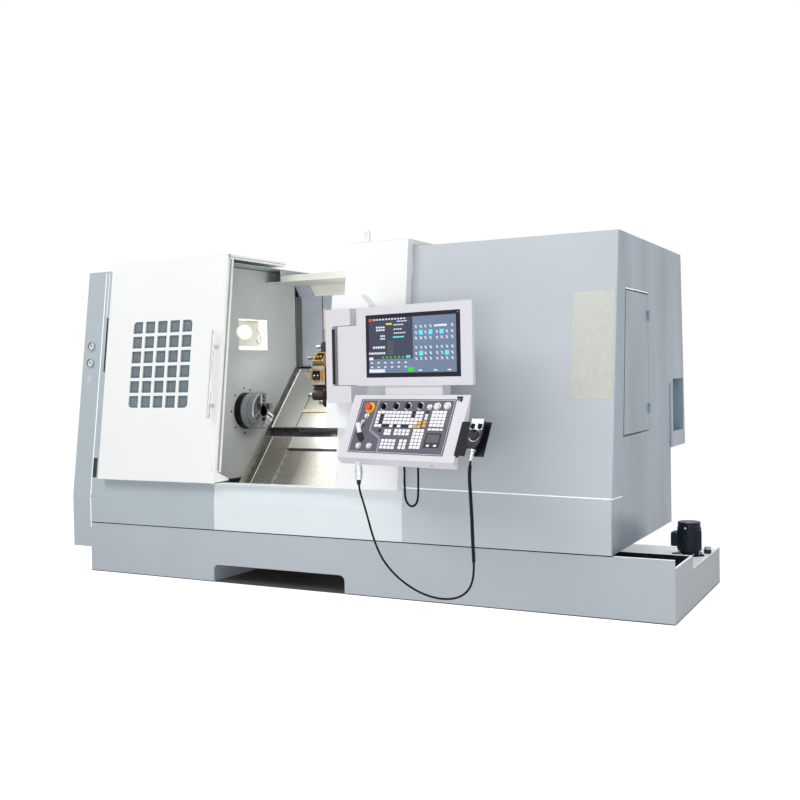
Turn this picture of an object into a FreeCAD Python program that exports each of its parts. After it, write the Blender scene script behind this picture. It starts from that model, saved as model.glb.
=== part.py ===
"""CNC turning lathe: slant bed, power chuck, disc turret, sliding front door and swinging control pendant.

Frame: +X runs along the spindle from the headstock to the tailstock, the front faces -Y and +Z is up.
The origin is on the floor straight below the spindle nose.  All lengths are millimetres.
"""
import FreeCAD, Part
import math
import os

V = FreeCAD.Vector

# ---------------------------------------------------------------- driving sizes
AXIS_Z = 1042.0          # spindle height above the floor
SLANT = 47.0             # slope of the bed, degrees
AIR = 1.0                # gap between moving neighbours
RUN_FIT = 0.05           # radial clearance of running fits
SEAT_GAP = 0.3           # clearance of sheets that rest against each other

BASE_X0, BASE_X1 = -892.0, 2955.0
BASE_Y0 = -521.0
BED_Y0, BED_Y1 = -60.0, 640.0
BASE_Y1 = BED_Y1 - 1.0
REAR_Y = BED_Y1 + 152.0                  # lower rear wall
MACHINE_DEPTH = 1721.0   # front of the base to the electrical cabinet's rear
REAR_LOW_Y = BASE_Y0 + MACHINE_DEPTH
REAR_TOP_Y = REAR_LOW_Y - 78.0
BASE_WALL = 10.0
FRONT_TOP = 322.0        # top of the base's front wall
TROUGH_TOP = 278.0       # rim of the chip trough's other walls
TANK_TOP = 195.0         # top face of the coolant tank
TANK_LIP = 12.0          # upturned edge of the tank's right end
PARTITION_Y = -101.0     # wall between trough and tank
WEIRS_X = (-500.0, 1500.0, 2400.0)
WEIR_WIDTH = 160.0
WEIR_Z0, WEIR_Z1 = 40.0, 100.0
FORK_X0, FORK_X1 = 120.0, 1060.0
FORK_HEIGHT = 108.0
FORK_RADIUS = 34.0
JOINT_LINE = 3.0         # shadow line between base and panels

SHEET = 4.0              # enclosure sheet thickness
CREASE_Z = 491.6         # height where the front starts to lean
LEAN = 0.1378            # run of the leaning front per unit of height
ROOF_Z = 2000.0
COLUMN_X0 = -1045.0
BAR_HOLE_RADIUS = 55.0   # bar feed opening in line with the spindle
COLUMN_Z0 = 158.7
SLIT_X0, SLIT_X1 = -857.0, -843.0        # slit beside the door
SLIT_Z0, SLIT_Z1 = 1317.0, 1680.0
LATCH_X0, LATCH_X1 = -886.0, -850.0      # recess with the door's latch
LATCH_Z0, LATCH_Z1 = 618.0, 746.0
OPENING_X0 = 130.0       # left edge of the doorway
APRON_X1 = 1440.0
APRON_TOP = 612.0
CABINET_X1 = 2640.0
REAR_STEP_Z = 782.0      # height of the rear overhang
ROOF_FRONT_Y = 266.0     # front edge of the work area's roof
BEAM_Z1 = ROOF_Z - 47.0  # folded beam over the work area
BEAM_Z0 = BEAM_Z1 - 43.0
BACK_Y = REAR_Y - 99.0
BACK_Z0, BACK_Z1 = 1335.0, BEAM_Z1 - 103.0
BACK_FOLD = 55.0         # depth of the slope between beam and back wall
ROOF_HEM = 12.0          # upright hem of the roof on the back wall

DOOR_X0, DOOR_X1 = -775.6, 173.0
DOOR_Z0, DOOR_Z1 = 617.0, ROOF_Z + 38.0
DOOR_PROUD = 66.9        # from the panel plane to the door's face, along Y
DOOR_GAP = 4.5
DOOR_ROOF = 27.0         # thickness of the door's top return
RAIL_DEPTH = 40.0        # ledge under the door that carries it
RAIL_THICK = 6.0
RAIL_FIT = 0.08
DOOR_SKIN = 3.0
GUSSET_Y = -425.0        # inner tip of the plate at the door's foot
GUSSET_HEIGHT = 61.0
WINDOW_X0, WINDOW_X1 = -557.0, -74.0
WINDOW_Z0, WINDOW_Z1 = 1080.0, 1637.0
PANE_COLUMNS, PANE_ROWS = 5, 6
PANE_BAR_X, PANE_BAR_Z = 22.5, 19.5
HANDLE_X = 128.0
HANDLE_Z0, HANDLE_Z1 = 1012.0, 1555.0
HANDLE_RADIUS = 9.0
HANDLE_STANDOFF = 42.0
POST_RADIUS = 8.0

SIDE_PANEL_X0 = 1036.7   # fixed white panel right of the doorway
HOUSING_X0, HOUSING_X1 = 1003.0, 1250.0
HOUSING_Z0, HOUSING_Z1 = 968.0, 1729.0
HOUSING_DEPTH = 84.0
EYE_X = 1135.0           # lifting eye on the fixed panel's top
EYE_WIDTH, EYE_HEIGHT = 36.0, 80.0

BORE_RADIUS = 37.0
NOSE_RADIUS = 88.0
CHUCK_RADIUS = 120.0
ADAPTER_X0, ADAPTER_X1 = 2.0, 52.0
CHUCK_X1 = 153.0
CHUCK_CHAMFER = 7.0
JAW_WIDTH = 46.0
JAW_DEPTH = 42.0
JAW_R0, JAW_R1 = 46.0, 117.0
JAW_PROUD = 3.0
JAW_T_WIDTH = 62.0
JAW_T_HEIGHT = 14.0
JAW_GAP = 0.5

HEAD_X0, HEAD_X1 = -700.0, -30.0         # headstock housing
HEAD_HALF = 170.0
HEAD_SEAT_U = (-215.0, 250.0)
BED_X0, BED_X1 = -860.0, 2200.0
WAY_X0 = 40.0            # left end of the ways
BED_WALL = 55.0
BED_N = -350.0           # bed's sloping face, measured from the spindle axis
WAY_N = -315.0           # sliding face of the two ways
WAY_WIDTH = 60.0
BED_U1 = (BED_Y1 + math.sin(math.radians(SLANT)) * BED_N) / math.cos(math.radians(SLANT))
UPPER_WAY_U = round(BED_U1) - 83.0       # inside the bed's upper edge
WAYS_U = ((120.0, 120.0 + WAY_WIDTH), (UPPER_WAY_U, UPPER_WAY_U + WAY_WIDTH))
COVER_N = -275.0         # top of the way covers
COVER_SHEET = 2.0
COVER_STEP = 4.0         # height step between two overlapping covers
COVER_U0, COVER_U1 = 87.0, 640.0
CHUTE_N = -286.0
CHUTE_U0, CHUTE_U1 = -430.0, 13.0
SEAM_X = 228.0           # left edge of the moving cover
COVER_FOOT = 12.0        # bolting foot of the moving cover
GUTTER_DEPTH = 40.0
SLOT_X0 = 244.0          # drain slot across the chute, right of the fixed flange
SLOT_U0, SLOT_U1 = -104.0, -90.0
FLANGE_HEIGHT = 26.0     # upturned sheet edges along the headstock wall
WALL_GAP = 0.5
SADDLE_LEFT = 200.0      # saddle's travel towards the chuck

SADDLE_X0, SADDLE_X1 = 470.0, 770.0
SADDLE_U0, SADDLE_U1 = 95.0, 585.0
SADDLE_N = -290.0
CROSS_WAY_N = -265.0
CROSS_WAYS_X = ((500.0, 545.0), (695.0, 740.0))
TURRET_U = 316.0         # disc centre, up the slope from the spindle axis
DISC_X0, DISC_X1 = 490.0, 588.0
DISC_FLATS = 146.0       # centre to a station's face
DISC_SHAFT = 40.0        # radius of the indexing shaft
DISC_SHAFT_LENGTH = 60.0
STATIONS = 8
FRAME_SIZE = 84.0        # square clamping frame of a turning tool
FRAME_HEIGHT = 26.0
FRAME_RIM = 14.0         # width and depth of the frame's border
SHANK = 20.0             # square tool shank
TIP_X = DISC_X0 - 50.0   # cutting tips of the turning tools
BAR_HEIGHT = 38.0        # boring bar's axis over the station
SLEEVE_RADIUS = 33.0
BAR_RADIUS = 14.0
HOUSING_HALF = 120.0
TURRET_LENGTH = 250.0
CROSS_SLIDE_U0, CROSS_SLIDE_U1 = TURRET_U - 110.0, TURRET_U + 160.0
CROSS_SLIDE_HEIGHT = 32.0

TAIL_X0, TAIL_X1 = 1780.0, 2130.0
TAIL_BARREL = 92.0
TAIL_BASE_HEIGHT = 53.0
QUILL_RADIUS = 50.0
QUILL_X0 = 1720.0
CENTRE_X0 = 1650.0
CENTRE_RADIUS = 26.0

PUMP_X, PUMP_Y = BASE_X1 - 125.0, 400.0
PUMP_RADIUS = 66.5
PUMP_LUGS = (-135.0, -45.0, 90.0)        # directions of the flange's lugs
LUG_WIDTH = 74.0
LUG_REACH = 92.0
FILLER_X, FILLER_Y = PUMP_X + 90.0, PUMP_Y + 66.0
PUMP_STEM = 45.0
PUMP_HEIGHT = 190.0      # over the tank's top
COWL_HEIGHT = 42.0

PENDANT_YAW = -13.3      # pendant's turn at rest
PENDANT_X, PENDANT_Y = 1284.2, -715.9
PANEL_WIDTH = 790.0
MONITOR_Z0, MONITOR_Z1 = 1206.0, 1632.0
BEZEL_DEPTH = 20.0       # flat front part of the monitor
MONITOR_DEPTH = 100.0
REAR_INSET = 20.0        # monitor's rear housing, in from the bezel's edge
REAR_INSET_RIGHT = 75.0
NECK_X0, NECK_X1 = 194.0, 585.0
NECK_Y0, NECK_Y1 = 12.0, 78.0
SCREEN_X0, SCREEN_X1 = 69.0, 716.0
SCREEN_Z0, SCREEN_Z1 = 1250.0, 1588.0
PIVOT_X, PIVOT_Y = -127.0, 50.0
KNUCKLE_RADIUS = 50.0
KNUCKLE_Z0, KNUCKLE_Z1 = 1210.0, 1537.0
PIN_RADIUS = 15.0
BRACKET_X0, BRACKET_X1 = -239.0, -49.0
BRACKET_Z0, BRACKET_Z1 = 1112.0, 1634.0
BRACKET_MOUTH_Z0, BRACKET_MOUTH_Z1 = 1207.0, 1540.0
SPINE_WIDTH = 52.0

FACE_TILT = 24.7         # operating face, from upright
FACE_Z = 1156.7
FACE_Y = -20.0
FACE_LENGTH = 361.5
BOX_BOTTOM = 788.0
BOX_DEPTH = 36.0         # of the panel, level
BOX_RIM = 6.0            # of the panel's top edge
BOX_TAPER_Z = 1030.0     # height where the panel reaches its full depth
BOX_FOOT = 35.0
CASE_X0, CASE_X1 = 150.0, 640.0          # housing on the panel's back
CASE_Z0 = 930.0
OVERLAY = 1.5
OVERLAY_S0, OVERLAY_S1 = 63.0, 712.0
OVERLAY_T0, OVERLAY_T1 = 24.0, 330.0
STEM_RADIUS = 5.0
STEM_DEPTH = 10.0
STEM_AIR = 4.0           # free depth under a pressed stem
KEY_HEIGHT = 1.6
PLATE_SIZE = 178.0
PLATE_T0 = 148.0
PLATE_OFF = 8.0
PLATE_THICK = 4.0
PLATE_FLANGE = 30.0      # upright edge bolted to the panel's side
SLOT_S0, SLOT_S1 = 854.0, 906.0          # cable slot in the plate's lower edge
HANDSET_S0, HANDSET_S1 = 870.0, 958.0
HANDSET_T0, HANDSET_T1 = 140.0, 298.0
HANDSET_THICK = 38.0
GLAND_LENGTH = 20.0
GLAND_HEIGHT = 18.0      # of the gland's axis over the plate

ESTOP_AT = (142.0, 75.0)
KNOBS_AT = ((237.0, 69.0), (324.0, 67.0), (405.0, 66.0), (488.0, 63.0))
KNOB_RADIUS = 16.0
KNOB_HEIGHT = 20.0
BUTTONS_AT = ((551.0, 69.0, 11.0), (599.0, 65.0, 17.0), (664.0, 62.0, 17.0),
              (135.0, 123.0, 11.0), (134.0, 294.0, 13.0), (209.0, 292.0, 13.0))
BUTTON_HEIGHT = 7.0
BUTTON_TRAVEL = 3.0
KEY_AT = (122.0, 158.0)
DIAL_AT = (914.0, 232.0)
DIAL_RADIUS = 27.0
MPG_KNOBS_AT = ((892.0, 186.0), (935.0, 186.0))
MPG_KNOB_RADIUS = 11.0

SIDE_DOOR_Y = 262.0      # rear, hinged edge of the access door
SIDE_DOOR_Z0, SIDE_DOOR_Z1 = 924.0, 1693.0
SIDE_DOOR_FRONT_LOW, SIDE_DOOR_FRONT_HIGH = -275.0, -201.0
SIDE_DOOR_THICK = 18.0
SIDE_DOOR_GAP = 5.0
HINGE_RADIUS = 6.0
HINGE_PIN = 3.0
HINGE_LENGTH = 60.0
HINGE_OUT = HINGE_RADIUS + 1.0           # pin axis, out of the panel
HINGE_LEAF = 3.0
HINGE_LEAF_WIDTH = 25.0
HINGES_Z = (SIDE_DOOR_Z0 + 90.0, SIDE_DOOR_Z1 - 150.0)
POCKET_Y0, POCKET_Y1 = REAR_Y + 74.0, REAR_LOW_Y - 50.0
POCKET_Z0, POCKET_Z1 = 879.0, 1207.0
POCKET_DEPTH = 60.0

GAUGES_Z = (1492.0, 1380.0)
GAUGE_X = -974.0
GAUGE_RADIUS = 30.0
GAUGE_DEPTH = 14.0

WALL_THICK = 10.0        # headstock splash wall
WALL_LOW_Y, WALL_REAR_Y = -20.0, 636.0
WALL_SCREW_CIRCLE = 150.0
WALL_SCREWS_AT = (20, 65, 93, 136, 180, 225, 267, 320)
LAMP_Y0, LAMP_Y1 = 42.0, 266.0
LAMP_Z0, LAMP_Z1 = 1456.0, 1644.0
LAMP_DEPTH = 50.0

CABLE_RADIUS = 5.5       # handset cable
CABLE_START = (137.0, -150.0, 712.0)
PLUG_RADIUS = 18.0
LOOP_RADIUS = 6.0        # short cable loop behind the control box


# ---------------------------------------------------------------- plain geometry helpers
def block(x0, x1, y0, y1, z0, z1):
    """Box between two opposite corners."""
    return Part.makeBox(x1 - x0, y1 - y0, z1 - z0, V(x0, y0, z0))


def rod(point, axis, radius, length):
    """Cylinder from a point along an axis."""
    return Part.makeCylinder(radius, length, V(*point), V(*axis))


def fuse(shapes):
    """One solid from touching or overlapping shapes, without seams."""
    return shapes[0].multiFuse(shapes[1:]).removeSplitter()


def cut(shape, tools):
    """Shape with every tool taken away."""
    return shape.cut(tools[0].multiFuse(tools[1:]) if len(tools) > 1 else tools[0])


def on_plane(point, plane, at):
    """Space point of a drawing point (a, b) in the yz, xz or xy plane."""
    a, b = point
    return {"yz": V(at, a, b), "xz": V(a, at, b), "xy": V(a, b, at)}[plane]


def outline(points, radii, plane, at):
    """Closed wire through the points; corner i is rounded by radii[i]."""
    corners = [on_plane(p, plane, at) for p in points]
    marks = []
    for i, corner in enumerate(corners):
        to_last = (corners[i - 1] - corner).normalize()
        to_next = (corners[(i + 1) % len(corners)] - corner).normalize()
        if radii[i] <= 0:
            marks.append((corner, corner, corner))
            continue
        half = to_last.getAngle(to_next) / 2
        reach = radii[i] / math.tan(half)
        middle = (to_last + to_next).normalize()
        arc_mid = corner + middle * (radii[i] / math.sin(half) - radii[i])
        marks.append((corner + to_last * reach, arc_mid, corner + to_next * reach))
    edges = []
    for i, (start, mid, end) in enumerate(marks):
        if radii[i] > 0:
            edges.append(Part.Arc(start, mid, end).toShape())
        after = marks[(i + 1) % len(marks)][0]
        if (after - end).Length > 1e-6:
            edges.append(Part.makeLine(end, after))
    return Part.Wire(edges)


def prism(points, length, plane="yz", at=0.0, radius=0.0):
    """Drawing outline pushed out by a length; radius is one value or one per corner."""
    radii = radius if isinstance(radius, (list, tuple)) else [radius] * len(points)
    direction = {"yz": V(length, 0, 0), "xz": V(0, length, 0), "xy": V(0, 0, length)}[plane]
    return Part.Face(outline(points, radii, plane, at)).extrude(direction)


def folded(path, thickness):
    """Outline of a bent sheet: the path, and the path set off to its left by the thickness."""
    offset = []
    for i, (a, b) in enumerate(path):
        normals = []
        for j in (i - 1, i):
            if 0 <= j < len(path) - 1:
                da, db = path[j + 1][0] - path[j][0], path[j + 1][1] - path[j][1]
                size = math.hypot(da, db)
                normals.append((-db / size, da / size))
        na = sum(n[0] for n in normals)
        nb = sum(n[1] for n in normals)
        scale = thickness * len(normals) / (na * na + nb * nb)
        offset.append((a + na * scale, b + nb * scale))
    return list(path) + offset[::-1]


def turned(points, axis_point, axis):
    """Solid of revolution about X from (x, radius) points, moved so that X lies on the axis."""
    wire = Part.makePolygon([V(x, r, 0) for x, r in points] + [V(points[0][0], points[0][1], 0)])
    solid = Part.Face(wire).revolve(V(0, 0, 0), V(1, 0, 0), 360)
    turn = FreeCAD.Rotation(V(1, 0, 0), V(*axis))
    solid.Placement = FreeCAD.Placement(V(*axis_point), turn)
    return solid


def front_y(z, proud=0.0):
    """Y of the machine's front at a height: upright up to the crease, then leaning back."""
    return BASE_Y0 + max(0.0, z - CREASE_Z) * LEAN - proud


def behind_front(x0, x1, z0, z1, proud, depth):
    """Slab of the given depth behind the leaning front, set forward by proud."""
    points = [(front_y(z0, proud), z0), (front_y(z1, proud), z1),
              (front_y(z1, proud) + depth, z1), (front_y(z0, proud) + depth, z0)]
    return prism(points, x1 - x0, at=x0)


def sloped(shape):
    """Shape drawn level about the spindle axis, tipped to the bed's slope."""
    shape.rotate(V(0, 0, 0), V(1, 0, 0), SLANT)
    shape.translate(V(0, 0, AXIS_Z))
    return shape


def on_slope(y, n):
    """Point (y, z) of the bed's sloping plane n at a given y."""
    cos, sin = math.cos(math.radians(SLANT)), math.sin(math.radians(SLANT))
    u = (y + sin * n) / cos
    return (y, AXIS_Z + sin * u + cos * n)


def on_pendant(shape):
    """Shape drawn square to the pendant, put at the pendant's place and turn."""
    shape.rotate(V(0, 0, 0), V(0, 0, 1), PENDANT_YAW)
    shape.translate(V(PENDANT_X, PENDANT_Y, 0))
    return shape


def on_face(shape):
    """Shape drawn flat (X across, -Y down the face, Z outward), put on the operating face."""
    shape.rotate(V(0, 0, 0), V(1, 0, 0), 90 - FACE_TILT)
    shape.translate(V(0, FACE_Y, FACE_Z))
    return on_pendant(shape)


def circle_of(shape, count, first=0.0, centre=(0, 0, 0), axis=(1, 0, 0)):
    """Copies of a shape at equal steps about an axis."""
    copies = []
    for i in range(count):
        copy = shape.copy()
        copy.rotate(V(*centre), V(*axis), first + 360.0 * i / count)
        copies.append(copy)
    return copies


# ---------------------------------------------------------------- base, tank and pump
def base_tray():
    """Welded base: chip trough in front, coolant tank behind, fork pockets through it."""
    w = BASE_WALL
    body = block(BASE_X0, BASE_X1, BASE_Y0, BASE_Y1, 0, TANK_TOP)
    front = block(BASE_X0, BASE_X1, BASE_Y0, BASE_Y0 + w, 0, FRONT_TOP)
    lip = block(BASE_X0, BASE_X1, BASE_Y0 + w / 2, BASE_Y0 + w, FRONT_TOP, FRONT_TOP + JOINT_LINE)
    left = block(BASE_X0, BASE_X0 + w, BASE_Y0, PARTITION_Y, 0, FRONT_TOP)
    right = block(BASE_X1 - w, BASE_X1, BASE_Y0, PARTITION_Y, 0, TROUGH_TOP)
    partition = block(BASE_X0, BASE_X1, PARTITION_Y - w, PARTITION_Y, 0, TROUGH_TOP)
    trough = block(BASE_X0 + w, BASE_X1 - w, BASE_Y0 + w, PARTITION_Y - w, w, FRONT_TOP)
    tank = block(BASE_X0 + w, BASE_X1 - w, PARTITION_Y, BASE_Y1 - w, w, TANK_TOP - w)
    tunnel = block(FORK_X0 - w, FORK_X1 + w, BASE_Y0, BASE_Y1, 0, FORK_HEIGHT + w)
    fork = prism([(FORK_X0, -1), (FORK_X1, -1), (FORK_X1, FORK_HEIGHT), (FORK_X0, FORK_HEIGHT)],
                 BASE_Y1 - BASE_Y0 + 2, "xz", BASE_Y0 - 1, [0, 0, FORK_RADIUS, FORK_RADIUS])
    weirs = [block(x, x + WEIR_WIDTH, PARTITION_Y - w - 1, PARTITION_Y + 1, WEIR_Z0, WEIR_Z1)
             for x in WEIRS_X]
    tank_lip = block(BASE_X1 - w / 2, BASE_X1, PARTITION_Y, BASE_Y1, 0, TANK_TOP + TANK_LIP)
    pump_hole = rod((PUMP_X, PUMP_Y, TANK_TOP - w - 1), (0, 0, 1), PUMP_STEM + AIR, w + 2)
    shell = cut(body, [trough, tank])
    shell = fuse([shell, front, lip, left, right, partition, tunnel, tank_lip])
    shell = cut(shell, [fork, pump_hole] + weirs)
    neck = rod((FILLER_X, FILLER_Y, TANK_TOP), (0, 0, 1), 20, 26)
    cap = rod((FILLER_X, FILLER_Y, TANK_TOP + 26), (0, 0, 1), 18, 12)
    return fuse([shell, neck, cap])


def coolant_pump():
    """Immersion pump: finned motor, terminal box, flange and the stem that hangs in the tank."""
    z = TANK_TOP
    stem = rod((PUMP_X, PUMP_Y, 40), (0, 0, 1), PUMP_STEM, z - 40)
    flange = rod((PUMP_X, PUMP_Y, z), (0, 0, 1), PUMP_RADIUS + 4, 12)
    lugs = []
    for angle in PUMP_LUGS:
        lug = block(0, LUG_REACH, -LUG_WIDTH / 2, LUG_WIDTH / 2, 0, 12)
        lug.rotate(V(0, 0, 0), V(0, 0, 1), angle)
        lug.translate(V(PUMP_X, PUMP_Y, z))
        lugs.append(lug)
    neck = rod((PUMP_X, PUMP_Y, z + 12), (0, 0, 1), PUMP_RADIUS - 14, 14)
    cowl_z = z + PUMP_HEIGHT - COWL_HEIGHT
    middle = (z + 26 + cowl_z) / 2
    motor = rod((PUMP_X, PUMP_Y, z + 26), (0, 0, 1), PUMP_RADIUS, cowl_z - z - 26)
    cowl = rod((PUMP_X, PUMP_Y, cowl_z), (0, 0, 1), PUMP_RADIUS - 3, COWL_HEIGHT)
    terminals = block(PUMP_X - PUMP_RADIUS - 28, PUMP_X, PUMP_Y - 40, PUMP_Y + 40, middle - 37, middle + 43)
    return fuse([stem, flange, neck, motor, cowl, terminals] + lugs)


# ---------------------------------------------------------------- bed, headstock and spindle
def bed_casting():
    """Hollow slant bed with two box ways."""
    low, high = on_slope(BED_Y0, BED_N), on_slope(BED_Y1, BED_N)
    outer = prism([(BED_Y0, TANK_TOP), low, high, (BED_Y1, TANK_TOP)], BED_X1 - BED_X0, at=BED_X0)
    w = BED_WALL
    low_in, high_in = on_slope(BED_Y0 + w, BED_N - w), on_slope(BED_Y1 - w, BED_N - w)
    inner = prism([(BED_Y0 + w, TANK_TOP + w), low_in, high_in, (BED_Y1 - w, TANK_TOP + w)],
                  BED_X1 - BED_X0 + 2, at=BED_X0 - 1, radius=[12, 40, 12, 12])
    ways = [sloped(block(WAY_X0, BED_X1, u0, u1, BED_N - 5, WAY_N)) for u0, u1 in WAYS_U]
    return fuse([cut(outer, [inner])] + ways)


def headstock_casting():
    """Spindle housing on the bed, bored for two bearings and the built-in motor."""
    length = HEAD_X1 - HEAD_X0
    h = HEAD_HALF
    seat = sloped(block(HEAD_X0, HEAD_X1, *HEAD_SEAT_U, BED_N, -h + 50))
    corners = [(-h, -h - 20), (h + 30, -h - 20), (h + 30, h - 70), (h - 40, h), (-h + 70, h), (-h, h - 70)]
    head = sloped(prism(corners, length, at=HEAD_X0, radius=[0, 0, 20, 40, 40, 20]))
    bore = rod((HEAD_X0 - 1, 0, AXIS_Z), (1, 0, 0), NOSE_RADIUS - 8 + RUN_FIT, length + 2)
    rotor_room = rod((HEAD_X0 + 180, 0, AXIS_Z), (1, 0, 0), h - 36, 320)
    return cut(fuse([seat, head]), [bore, rotor_room])


def spindle_shaft():
    """Hollow spindle with its nose flange and the motor's rotor drum."""
    r = NOSE_RADIUS - 8
    rear, rotor0, rotor1, nose = HEAD_X0 - 60, HEAD_X0 + 200, HEAD_X0 + 480, HEAD_X1 + 4
    drum = HEAD_HALF - 42
    points = [(rear, BORE_RADIUS), (rear, r - 20), (HEAD_X0, r - 20), (HEAD_X0, r), (rotor0, r),
              (rotor0, drum), (rotor1, drum), (rotor1, r), (nose, r), (nose, NOSE_RADIUS),
              (ADAPTER_X0, NOSE_RADIUS), (ADAPTER_X0, BORE_RADIUS)]
    return turned(points, (0, 0, AXIS_Z), (1, 0, 0))


def chuck_adapter():
    """Black mounting ring between the spindle nose and the chuck."""
    ring = turned([(ADAPTER_X0, BORE_RADIUS), (ADAPTER_X0, CHUCK_RADIUS - 2), (ADAPTER_X0 + 2, CHUCK_RADIUS),
                   (ADAPTER_X1, CHUCK_RADIUS), (ADAPTER_X1, BORE_RADIUS)], (0, 0, AXIS_Z), (1, 0, 0))
    return ring


def jaw_slot(grow):
    """T-shaped master jaw drawn upward from the spindle axis; grow opens it into its slot."""
    half, wide = JAW_WIDTH / 2 + grow, JAW_T_WIDTH / 2 + grow
    x0, x1 = CHUCK_X1 - JAW_DEPTH - grow, CHUCK_X1 + JAW_PROUD
    x_t = x0 + JAW_T_HEIGHT + 2 * grow
    r0, r1 = (JAW_R0, JAW_R1) if grow == 0 else (JAW_R0 - 6, CHUCK_RADIUS + 5)
    points = [(x0, -wide), (x_t, -wide), (x_t, -half), (x1, -half), (x1, half), (x_t, half),
              (x_t, wide), (x0, wide)]
    return prism(points, r1 - r0, "xy", AXIS_Z + r0)


def chuck_body():
    """Steel power chuck with three T slots and its bolt holes."""
    c = CHUCK_CHAMFER
    points = [(ADAPTER_X1, BORE_RADIUS), (ADAPTER_X1, CHUCK_RADIUS - 1), (ADAPTER_X1 + 1, CHUCK_RADIUS),
              (CHUCK_X1 - c, CHUCK_RADIUS), (CHUCK_X1, CHUCK_RADIUS - c), (CHUCK_X1, BORE_RADIUS)]
    body = turned(points, (0, 0, AXIS_Z), (1, 0, 0))
    centre = (0, 0, AXIS_Z)
    slots = circle_of(jaw_slot(JAW_GAP), 3, 0, centre)
    bolts = circle_of(rod((CHUCK_X1 - 16, 0, AXIS_Z + 84), (1, 0, 0), 8, 20), 3, 60, centre)
    small = []
    for angle in (42, 60, 78):
        hole = rod((CHUCK_X1 - 8, 0, AXIS_Z + (62 if angle == 60 else 100)), (1, 0, 0), 4, 12)
        small += circle_of(hole, 3, angle, centre)
    return cut(body, slots + bolts + small)


def jaw(index):
    """Master jaw with its serrated top, T-nut groove and two bolt holes."""
    body = jaw_slot(0)
    x1 = CHUCK_X1 + JAW_PROUD
    groove = block(x1 - 14, x1 + 1, -8, 8, AXIS_Z + JAW_R0 - 1, AXIS_Z + JAW_R1 + 1)
    teeth = []
    pitch = 6.0
    count = int((JAW_R1 - JAW_R0) / pitch)
    for i in range(count):
        z = AXIS_Z + JAW_R0 + (i + 0.5) * pitch
        tooth = prism([(x1 + 0.1, z - 2), (x1 + 0.1, z + 2), (x1 - 1.8, z)], 2 * JAW_WIDTH, "xz", -JAW_WIDTH)
        teeth.append(tooth)
    holes = [rod((x1 - 26, 0, AXIS_Z + r), (1, 0, 0), 7, 30) for r in (JAW_R0 + 18, JAW_R1 - 18)]
    solid = cut(body, [groove] + teeth + holes)
    solid = solid.common(rod((0, 0, AXIS_Z), (1, 0, 0), JAW_R1 + 1, CHUCK_X1 + 50))
    solid.rotate(V(0, 0, AXIS_Z), V(1, 0, 0), 120.0 * index)
    return solid


# ---------------------------------------------------------------- carriage, turret and tailstock
def way_gap():
    """Height of the slide that clears the ways by a running fit."""
    return WAY_N + RUN_FIT


def saddle():
    """Saddle on the two ways, with the two cross ways on its back."""
    plate = block(SADDLE_X0, SADDLE_X1, SADDLE_U0, SADDLE_U1, way_gap(), SADDLE_N)
    cross = [block(x0, x1, SADDLE_U0 + 15, SADDLE_U1 - 5, SADDLE_N, CROSS_WAY_N) for x0, x1 in CROSS_WAYS_X]
    keeper = block(SADDLE_X0, SADDLE_X1, WAYS_U[0][1] + AIR, WAYS_U[0][1] + AIR + 60, BED_N + AIR, way_gap())
    return sloped(fuse([plate, keeper] + cross))


def sliding_way_cover():
    """Sheet cover bolted to the saddle's left side, gliding over the fixed cover."""
    foot_u = (WAYS_U[0][0] + 10, WAYS_U[1][1] + 20)
    t = COVER_SHEET
    top = COVER_N
    path = [(COVER_U0, top - 9), (COVER_U0, top), (COVER_U1, top)]
    sheet = prism(folded(path[::-1], t), SADDLE_X0 - SEAM_X, at=SEAM_X)
    foot = block(SADDLE_X0 - COVER_FOOT, SADDLE_X0, *foot_u, SADDLE_N - 12, top - t)
    return sloped(fuse([sheet, foot]))


def turret_housing():
    """Cross slide and the indexing head that carries the tool disc."""
    n0 = CROSS_WAY_N + RUN_FIT
    n1 = n0 + CROSS_SLIDE_HEIGHT
    slide = prism([(CROSS_SLIDE_U0, n0), (CROSS_SLIDE_U1, n0), (CROSS_SLIDE_U1, n1), (CROSS_SLIDE_U0, n1)],
                  SADDLE_X1 - SADDLE_X0, at=SADDLE_X0 + 5)
    h = HOUSING_HALF
    head = prism([(TURRET_U - h, n1), (TURRET_U + h, n1), (TURRET_U + h, h), (TURRET_U - h, h)],
                 TURRET_LENGTH, at=DISC_X1 + 14, radius=[0, 0, 45, 45])
    collar = rod((DISC_X1 + AIR, TURRET_U, 0), (1, 0, 0), 95, 14)
    servo = rod((DISC_X1 + 14 + TURRET_LENGTH, TURRET_U, 0), (1, 0, 0), 0.6 * h, h)
    bore = rod((DISC_X1, TURRET_U, 0), (1, 0, 0), DISC_SHAFT + RUN_FIT, DISC_SHAFT_LENGTH + AIR)
    return sloped(cut(fuse([slide, head, collar, servo]), [bore]))


def tool_disc():
    """Steel disc with a flat face for every station, on its indexing shaft."""
    corner = DISC_FLATS / math.cos(math.pi / STATIONS)
    points = []
    for i in range(STATIONS):
        angle = 2 * math.pi * (i + 0.5) / STATIONS
        points.append((TURRET_U + corner * math.sin(angle), corner * math.cos(angle)))
    disc = prism(points[::-1], DISC_X1 - DISC_X0, at=DISC_X0)
    hub = rod((DISC_X0 - 16, TURRET_U, 0), (1, 0, 0), 62, 20)
    boss = rod((DISC_X0 - 26, TURRET_U, 0), (1, 0, 0), 38, 14)
    shaft = rod((DISC_X1 - 1, TURRET_U, 0), (1, 0, 0), DISC_SHAFT, DISC_SHAFT_LENGTH + 1)
    screws = circle_of(rod((DISC_X0 - 1, TURRET_U, 100), (1, 0, 0), 9, 10), STATIONS, 0, (0, TURRET_U, 0))
    return sloped(cut(fuse([disc, hub, boss, shaft]), screws))


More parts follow.
